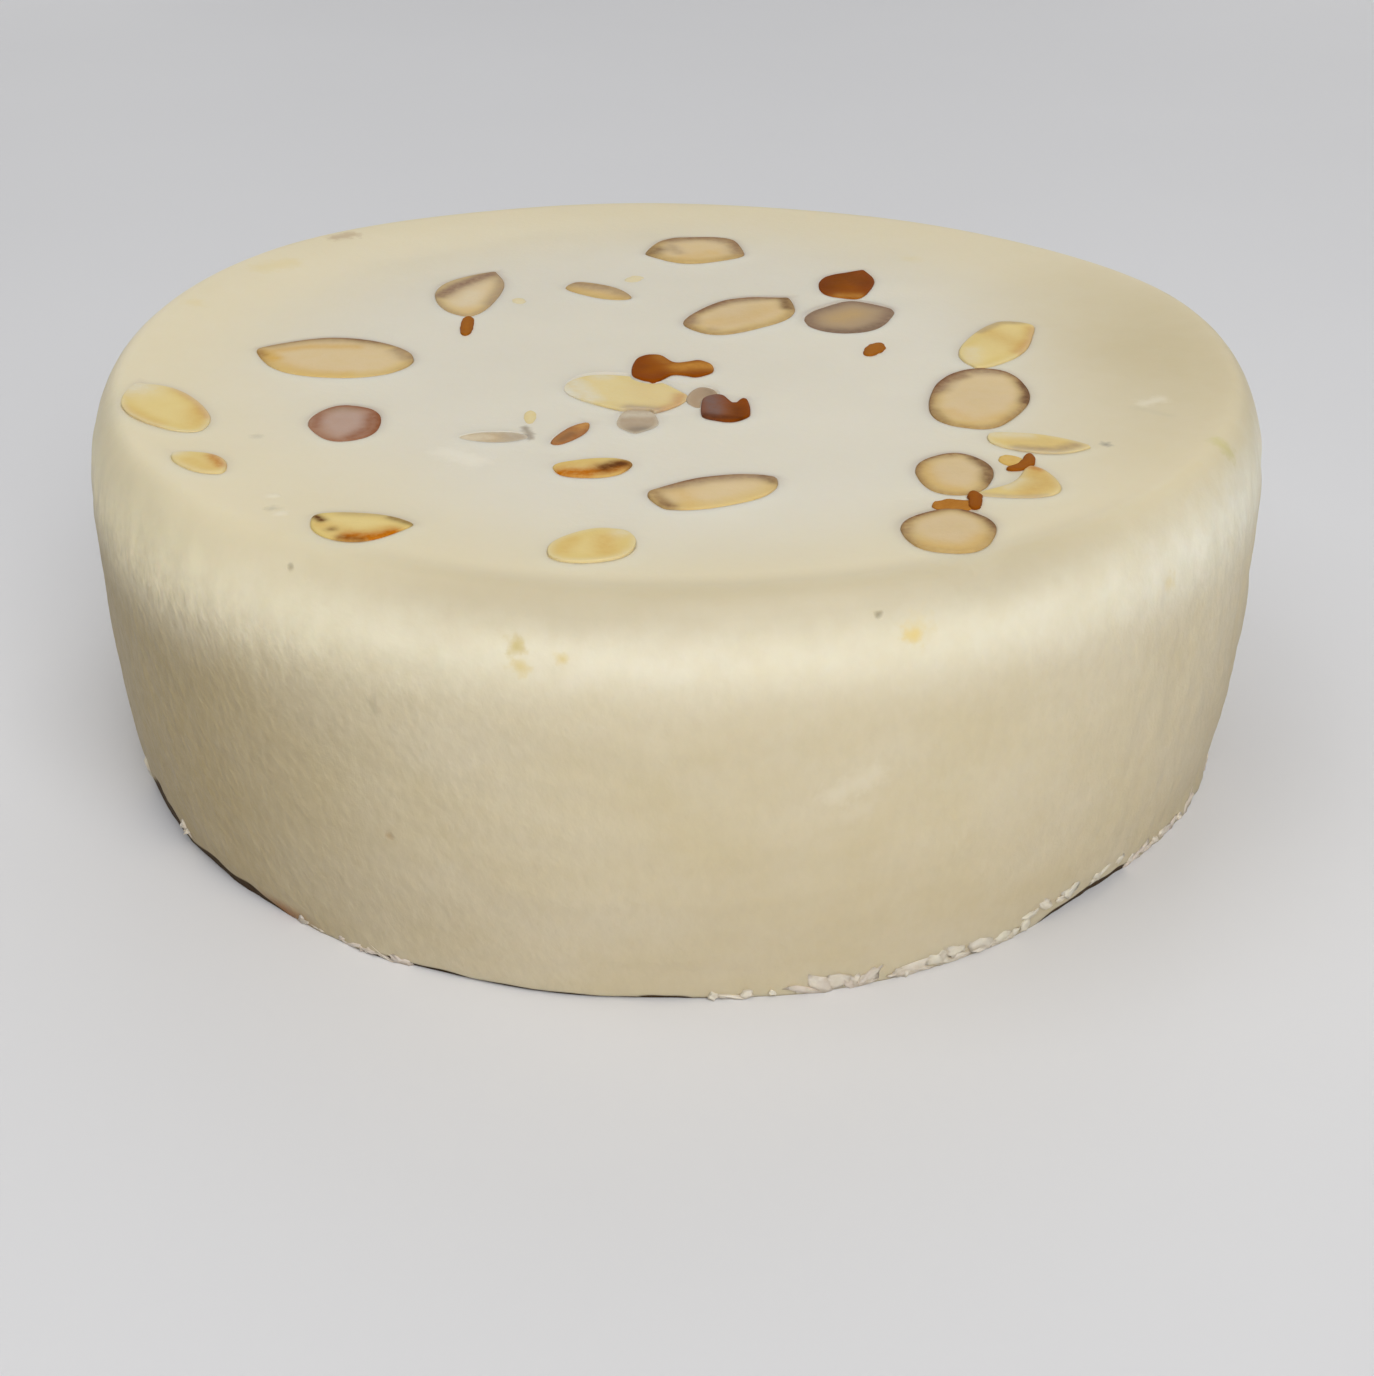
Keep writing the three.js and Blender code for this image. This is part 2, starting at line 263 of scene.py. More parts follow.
def new_object(
    name: str, corners: Array, faces: list, masks: dict[str, Array], finish: bpy.types.Material
) -> bpy.types.Object:
    """Makes a smooth mesh object.

    Args:
        name: The object's name.
        corners: The mesh's points in millimetres, n by 3.
        faces: Lists of point numbers.
        masks: Named values, one for each point, for the material to read.
        finish: The material.

    Returns:
        The object, linked into the scene.
    """
    mesh = bpy.data.meshes.new(name)
    mesh.from_pydata((corners * MM).tolist(), [], faces)
    mesh.polygons.foreach_set("use_smooth", np.ones(len(mesh.polygons), dtype=bool))
    for key, values in masks.items():
        store = mesh.attributes.new(key, "FLOAT", "POINT")
        store.data.foreach_set("value", np.asarray(values, dtype=np.float32))
    mesh.materials.append(finish)
    mesh.update()
    made = bpy.data.objects.new(name, mesh)
    bpy.context.scene.collection.objects.link(made)
    return made


def triangulate(places: Array, loops: list[Array]) -> tuple[Array, list, list[int]]:
    """Joins places and closed loops into triangles inside the first loop.

    Args:
        places: Loose places, n by 2.
        loops: Closed loops whose sides are kept. The first is the border.

    Returns:
        The joined places, the triangles and the numbers of the border's points.
    """
    stacked = np.vstack([*loops, places])
    sides: list[tuple[int, int]] = []
    start = len(loops[0])
    for loop in loops[1:]:
        count = len(loop)
        sides += [(start + nth, start + (nth + 1) % count) for nth in range(count)]
        start += count
    border = list(range(len(loops[0])))
    flat = [Vector(place) for place in stacked.tolist()]
    corners, _, faces, sources, _, _ = delaunay_2d_cdt(flat, sides, [border], 1, MERGE)
    number = {source: nth for nth, group in enumerate(sources) for source in group}
    joined = np.array([(corner.x, corner.y) for corner in corners])
    return joined, [list(face) for face in faces], [number[nth] for nth in border]


class Board:
    """A node tree, with short ways to add nodes and to join them."""

    def __init__(self, tree: bpy.types.NodeTree) -> None:
        """Takes the tree to work on."""
        self.tree = tree

    def add(self, kind: str, **settings: object) -> bpy.types.Node:
        """Adds a node.

        Args:
            kind: The node's type without its ShaderNode prefix.
            **settings: Values for the node's own properties.

        Returns:
            The node.
        """
        prefix = "" if kind.startswith("NodeGroup") else "ShaderNode"
        node = self.tree.nodes.new(prefix + kind)
        for key, value in settings.items():
            setattr(node, key, value)
        return node

    def feed(self, socket: Socket, source: object) -> None:
        """Joins a socket to another, or sets it to a plain value.

        Args:
            socket: The input.
            source: An output socket, a number or a tuple.
        """
        if isinstance(source, Socket):
            self.tree.links.new(source, socket)
        elif isinstance(source, tuple) and len(source) == 3 and socket.type == "RGBA":
            socket.default_value = (*source, 1)
        else:
            socket.default_value = source

    def fill(self, node: bpy.types.Node, values: dict[str, object]) -> bpy.types.Node:
        """Feeds some of a node's inputs.

        Args:
            node: The node.
            values: Sockets or plain values, by the inputs' names.

        Returns:
            The node.
        """
        for key, value in values.items():
            self.feed(node.inputs[key], value)
        return node

    def math(self, operation: str, first: object, second: object, clamp: bool = False) -> Socket:
        """Adds a sum of two values.

        Args:
            operation: Which sum, as Blender names it.
            first: A socket or number.
            second: A socket or number.
            clamp: Whether the result is held between 0 and 1.

        Returns:
            The result's socket.
        """
        node = self.add("Math", operation=operation, use_clamp=clamp)
        self.feed(node.inputs[0], first)
        self.feed(node.inputs[1], second)
        return node.outputs[0]

    def times(self, first: object, second: object, clamp: bool = False) -> Socket:
        """Multiplies two sockets or numbers."""
        return self.math("MULTIPLY", first, second, clamp)

    def plus(self, first: object, second: object, clamp: bool = False) -> Socket:
        """Adds two sockets or numbers up."""
        return self.math("ADD", first, second, clamp)

    def line(self, base: float, slope: float, source: Socket) -> Socket:
        """Gives base, and slope times the source on top of it."""
        return self.plus(base, self.times(source, slope))

    def vector(self, operation: str, first: object, second: object, result: str = "Vector") -> Socket:
        """Adds a sum of two vectors.

        Args:
            operation: Which sum, as Blender names it.
            first: A socket or a tuple of three.
            second: A socket or a tuple of three, or the number that SCALE takes.
            result: Which of the node's outputs to give back.

        Returns:
            The result's socket.
        """
        node = self.add("VectorMath", operation=operation)
        self.feed(node.inputs[0], first)
        self.feed(node.inputs["Scale" if operation == "SCALE" else 1], second)
        return node.outputs[result]

    def mix(self, share: object, first: object, second: object) -> Socket:
        """Mixes two colours.

        Args:
            share: How much of the second one there is.
            first: A socket or colour.
            second: A socket or colour.

        Returns:
            The mixed colour's socket.
        """
        node = self.add("Mix", data_type="RGBA")
        self.feed(node.inputs[0], share)
        self.feed(node.inputs[6], first)
        self.feed(node.inputs[7], second)
        return node.outputs[2]

    def mask(self, name: str) -> Socket:
        """Reads one of the mesh's named values."""
        return self.add("Attribute", attribute_name=name).outputs["Fac"]

    def effect(self, group: bpy.types.NodeTree, **inputs: object) -> Socket:
        """Places a shared effect, feeds its inputs and gives back its only output."""
        return self.fill(self.add("Group", node_tree=group), inputs).outputs[0]


class Effects:
    """The effects that more than one material uses, each built once.

    Noise is read away from the origin, where its lattice would line up with the cake's axis.
    """

    AWAY: Spot3 = (0.5131, 0.2717, 0.3373)
    BLOTCH_NOISE = {"Detail": 3.0, "Roughness": 0.55}
    GRAIN_NOISE = {"Detail": 4.0, "Roughness": 0.5}
    STREAK_FADE = 1.5
    STREAK_EDGE = (0.6, 0.8)

    @staticmethod
    def start(name: str, sockets: dict[str, str], result: str) -> tuple[Board, dict[str, Socket], Socket]:
        """Opens a new group.

        Args:
            name: The group's name.
            sockets: Its inputs' names and kinds.
            result: Its output's name.

        Returns:
            The group's board, its inputs by name and the socket that takes its result.
        """
        group = bpy.data.node_groups.new(name, "ShaderNodeTree")
        for key, kind in sockets.items():
            group.interface.new_socket(key, in_out="INPUT", socket_type="NodeSocket" + kind)
        group.interface.new_socket(result, in_out="OUTPUT", socket_type="NodeSocketFloat")
        board = Board(group)
        source, sink = board.add("NodeGroupInput"), board.add("NodeGroupOutput")
        return board, {key: source.outputs[key] for key in sockets}, sink.inputs[0]

    @classmethod
    def noise(cls, board: Board, place: Socket, scale: Socket, settings: dict[str, float]) -> Socket:
        """Adds a noise of some scale to a group, with settings for its other inputs."""
        values = {"Vector": board.vector("ADD", place, cls.AWAY), "Scale": scale, **settings}
        return board.fill(board.add("TexNoise"), values).outputs["Fac"]

    @classmethod
    @cache
    def blotches(cls) -> bpy.types.NodeTree:
        """Soft blotches from 0 to 1: Stretch draws them out, and Contrast hardens their edges."""
        sockets = {"Vector": "Vector", "Stretch": "Vector", "Scale": "Float", "Contrast": "Float"}
        board, source, sink = cls.start("blotches", sockets, "Mask")
        drawn = board.vector("DIVIDE", source["Vector"], source["Stretch"])
        noise = cls.noise(board, drawn, source["Scale"], cls.BLOTCH_NOISE)
        spread = board.times(board.math("SUBTRACT", noise, 0.5), source["Contrast"])
        board.feed(sink, board.plus(spread, 0.5, clamp=True))
        return board.tree

    @classmethod
    @cache
    def grain(cls) -> bpy.types.NodeTree:
        """Fine grain drawn out along Z by Stretch and slanted by Twist, in radians a metre."""
        sockets = {"Vector": "Vector", "Scale": "Float", "Stretch": "Float", "Twist": "Float"}
        board, source, sink = cls.start("grain", sockets, "Height")
        split = board.fill(board.add("SeparateXYZ"), {"Vector": source["Vector"]}).outputs
        angle = board.times(split["Z"], source["Twist"])
        turn = board.add("VectorRotate", rotation_type="Z_AXIS")
        board.fill(turn, {"Vector": source["Vector"], "Angle": angle})
        turned = board.fill(board.add("SeparateXYZ"), {"Vector": turn.outputs[0]}).outputs
        tall = board.math("DIVIDE", turned["Z"], source["Stretch"])
        drawn = board.fill(board.add("CombineXYZ"), {"X": turned["X"], "Y": turned["Y"], "Z": tall})
        board.feed(sink, cls.noise(board, drawn.outputs[0], source["Scale"], cls.GRAIN_NOISE))
        return board.tree

    @classmethod
    @cache
    def streak(cls) -> bpy.types.NodeTree:
        """One streak from Start along Along, fading out round Radius, its edge uneven by Ragged."""
        sockets = {"Vector": "Vector", "Start": "Vector", "Along": "Vector"}
        sockets |= {"Radius": "Float", "Ragged": "Float"}
        board, source, sink = cls.start("streak", sockets, "Mask")
        along = source["Along"]
        off = board.vector("SUBTRACT", source["Vector"], source["Start"])
        ahead = board.vector("DOT_PRODUCT", off, along, "Value")
        whole = board.vector("DOT_PRODUCT", along, along, "Value")
        share = board.math("DIVIDE", ahead, board.math("MAXIMUM", whole, TINY), clamp=True)
        gap = board.vector("DISTANCE", off, board.vector("SCALE", along, share), "Value")
        values = {
            "Value": board.times(gap, board.line(*cls.STREAK_EDGE, source["Ragged"])),
            "From Min": 0.0,
            "From Max": board.times(source["Radius"], cls.STREAK_FADE),
            "To Min": 1.0,
            "To Max": 0.0,
        }
        ramp = board.fill(board.add("MapRange", interpolation_type="SMOOTHSTEP"), values)
        board.feed(sink, ramp.outputs["Result"])
        return board.tree


class Paint(Board):
    """A new material's node tree, with its shader and the place of each point of the surface."""

    def __init__(self, name: str) -> None:
        """Makes the material."""
        self.material = bpy.data.materials.new(name)
        self.material.use_nodes = True
        super().__init__(self.material.node_tree)
        self.shader = self.tree.nodes["Principled BSDF"]
        self.place = self.add("TexCoord").outputs["Object"]

    def blotches(self, scale: float, contrast: float, stretch: Spot3 = EVEN) -> Socket:
        """Places soft blotches, drawn out along each axis by stretch."""
        look = {"Stretch": stretch, "Scale": scale, "Contrast": contrast}
        return self.effect(Effects.blotches(), Vector=self.place, **look)

    def grain(self, scale: float, stretch: float = 1.0, twist: float = 0.0) -> Socket:
        """Places fine grain, drawn out upwards by stretch and slanted by twist."""
        return self.effect(Effects.grain(), Vector=self.place, Scale=scale, Stretch=stretch, Twist=twist)

    def coat(self, colour: Socket, roughness: object) -> None:
        """Gives the surface its colour and its roughness."""
        self.fill(self.shader, {"Base Color": colour, "Roughness": roughness})

    def bump(self, height: Socket, strength: float, distance: float) -> None:
        """Roughens the surface with a relief that stands so high, in metres."""
        node = self.fill(self.add("Bump"), {"Strength": strength, "Distance": distance, "Height": height})
        self.feed(self.shader.inputs["Normal"], node.outputs[0])

    def glow(self, weight: float, reach: Spot3) -> None:
        """Lets light in under the surface, its red, green and blue as far as reach, in metres."""
        values = {"Subsurface Weight": weight, "Subsurface Radius": reach, "Subsurface Scale": 1.0}
        self.fill(self.shader, values)


@dataclass(frozen=True)
class Lobe:
    """A stretch round an azimuth, as wide as its spread and of some size in the middle."""

    azimuth: float
    spread: float
    size: float = 1.0
    power: int = 2

    def at(self, azimuth: Array) -> Array:
        """Gives how much of it there is at some azimuths."""
        gap = np.mod(azimuth - self.azimuth + 180, 360) - 180
        return self.size * np.exp(-((gap / self.spread) ** self.power))


@dataclass(frozen=True)
class Uneven:
    """A smooth unevenness: how high, how large a hump is, which field, and how it is squeezed."""

    height: float
    hump: float
    seed: int
    squeeze: Spot3 = EVEN

    def at(self, points: Array) -> Array:
        """Gives the unevenness at some points."""
        return self.height * relief(points * self.squeeze, self.hump, self.seed)


@dataclass(frozen=True)
class Undercut:
    """A stretch where the foot stands clear of the floor."""

    azimuth: float
    spread: float
    depth: float
    height: float

    def share(self, azimuth: Array) -> Array:
        """Gives how much of the undercut there is at some azimuths."""
        return Lobe(self.azimuth, self.spread, power=4).at(azimuth)


@dataclass(frozen=True)
class CakeForm:
    """The cake's turned form and how it departs from it, as in the solids."""

    radius: float = 89.0
    height: float = 57.0
    foot_radius: float = 86.5
    belly_height: float = 26.0
    shoulder_drop: float = 18.0
    shoulder_run: float = 6.5
    dish_depth: float = 0.6
    dish_floor_radius: float = 64.0
    foot_band: float = 5.0
    waves: tuple[tuple[int, float, float], ...] = (
        (1, 0.35, -165),
        (2, 0.15, 128),
        (3, 0.5, -49),
        (5, 0.2, 15),
        (9, 0.12, 200),
    )
    rises: tuple[Lobe, ...] = (Lobe(152, 30, 1.6), Lobe(13, 24, 1.1), Lobe(72, 24, -0.5))
    tears: tuple[Lobe, ...] = (
        Lobe(206, 6, 0.2),
        Lobe(218, 8, 0.5),
        Lobe(230, 4, 0.4),
        Lobe(243, 4, -0.7),
        Lobe(286, 14, -0.6),
        Lobe(313, 7, 0.5),
        Lobe(331, 10, -0.8),
        Lobe(25, 9, 1.0),
        Lobe(62, 12, -0.6),
        Lobe(118, 10, 1.1),
        Lobe(160, 9, -0.7),
    )

    @property
    def crest_radius(self) -> float:
        """The radius at which the top turns over into the shoulder."""
        return self.radius - self.shoulder_run

    def wave(self, azimuth: Array) -> Array:
        """Gives the share by which the plan is larger than round at some azimuths."""
        turns = ((depth, np.radians(lobes * azimuth + phase)) for lobes, depth, phase in self.waves)
        return 1 + sum(depth * np.cos(turn) for depth, turn in turns) / self.radius

    def rise(self, azimuth: Array) -> Array:
        """Gives how much higher the rim is at some azimuths."""
        return sum(lobe.at(azimuth) for lobe in self.rises)

    def draw_in(self, azimuth: Array, height: Array) -> Array:
        """Gives how far the torn foot draws in at some azimuths and heights."""
        fade = np.clip(1 - height / self.foot_band, 0, 1) ** 2
        return fade * sum(lobe.at(azimuth) for lobe in self.tears)

    def side_radius(self, height: Array) -> Array:
        """Gives the side's radius at heights below the shoulder."""
        share = np.clip(1 - height / self.belly_height, 0, 1)
        return self.radius - (self.radius - self.foot_radius) * share**2

    def foot(self, azimuth: Array, height: Array) -> Array:
        """Gives the lower side's radius, torn foot and waves included."""
        return self.side_radius(height) * self.wave(azimuth) - self.draw_in(azimuth, height)

    def top_height(self, radius: Array, azimuth: Array) -> Array:
        """Gives the height of the top and of the upper shoulder.

        Args:
            radius: Distances from the axis, before the plan's waves.
            azimuth: The azimuths there.

        Returns:
            The heights.
        """
        out = smoothstep(radius, self.dish_floor_radius, self.crest_radius)
        over = np.clip((radius - self.crest_radius) / self.shoulder_run, 0, 1)
        fall = self.shoulder_drop * (1 - np.sqrt(1 - over**2))
        share = np.where(over > 0, 1 - fall / self.shoulder_drop, out)
        return self.height - self.dish_depth * (1 - out) - fall + self.rise(azimuth) * share


class Almond:
    """One almond piece's place, read from its solid."""

    CAP_SLOPE = 0.9
    CAP_INSET = 0.25
    POINT_STEP = 0.45
    FEWEST_POINTS = 40

    def __init__(self, node: bpy.types.Object) -> None:
        """Reads the outline and the upper face's plane from a node's mesh."""
        self.name = node.name
        corners = np.array([vertex.co for vertex in node.data.vertices]) / MM
        _, first, number = np.unique(np.round(corners, 2), axis=0, return_index=True, return_inverse=True)
        number = number.ravel()
        cap: set[int] = set()
        sides: set[tuple[int, int]] = set()
        for face in node.data.polygons:
            if face.normal.z < self.CAP_SLOPE:
                continue
            ring = [int(number[vertex]) for vertex in face.vertices]
            cap.update(ring)
            for side in zip(ring, ring[1:] + ring[:1]):
                if side[::-1] in sides:
                    sides.discard(side[::-1])
                else:
                    sides.add(side)
        follows = dict(sides)
        start = min(follows)
        walk = [start]
        while follows[walk[-1]] != start:
            walk.append(follows[walk[-1]])
        upper = corners[first]
        rough = grown_loop(upper[walk][:, :2], self.CAP_INSET)
        length = np.hypot(*np.diff(rough, axis=0).T).sum()
        self.loop = even_loop(rough, max(self.FEWEST_POINTS, int(length / self.POINT_STEP)))
        level = upper[sorted(cap)]
        plane = np.column_stack([level[:, :2], np.ones(len(level))])
        self.plane = np.linalg.lstsq(plane, level[:, 2], rcond=None)[0]

    @property
    def middle(self) -> Array:
        """The outline's middle."""
        return (self.loop.min(axis=0) + self.loop.max(axis=0)) / 2

    def level(self, places: Array) -> Array:
        """Gives the height of the upper face's plane at some places."""
        return places @ self.plane[:2] + self.plane[2]

    def distance(self, places: Array, reach: float) -> Array:
        """Measures how far places are outside the outline.

        Args:
            places: The places, n by 2.
            reach: Distances beyond this needn't be measured.

        Returns:
            Distances, below zero inside, and reach where a place is further off.
        """
        near = np.all(places > self.loop.min(axis=0) - reach, axis=1)
        near &= np.all(places < self.loop.max(axis=0) + reach, axis=1)
        gap = np.full(len(places), reach)
        if near.any():
            gap[near] = np.minimum(loop_distance(places[near], self.loop), reach)
        return gap


class Look(Enum):
    """What kind of almond a piece is."""

    FLESH = "flesh"
    YELLOW = "yellow"
    SKIN = "skin"
    ROSY = "rosy"
    SUNK = "sunk"


class Ink(Enum):
    """What a mark on an almond piece shows."""

    GOLD = "gold"
    MAUVE = "mauve"
    SKIN = "skin"
    DARK = "dark"
    FILM = "film"


def no_inks(count: int) -> dict[str, Array]:
    """Gives an empty mask for each ink, for that many points."""
    return {ink.value: np.zeros(count) for ink in Ink}


@dataclass(frozen=True)
class Mark:
    """A soft stroke on an almond piece, along a path of one or more places."""

    ink: Ink
    path: tuple[Place, ...]
    radius: float
    share: float = 1.0


@dataclass(frozen=True)
class PieceLook:
    """How one almond piece is dressed.

    The rim is how much brown skin shows along the edge, more towards one way, film is how much
    custard has run over the whole of it, veil is how much has over its edge, and halo is how strong
    the painted shade is on the custard round it, most of it behind.
    """

    look: Look
    rim: float = 0.0
    rim_width: float = 0.6
    veil: float = 0.0
    towards: Place = (0.0, 0.0)
    film: float = 0.0
    halo: float = 0.5
    marks: tuple[Mark, ...] = ()


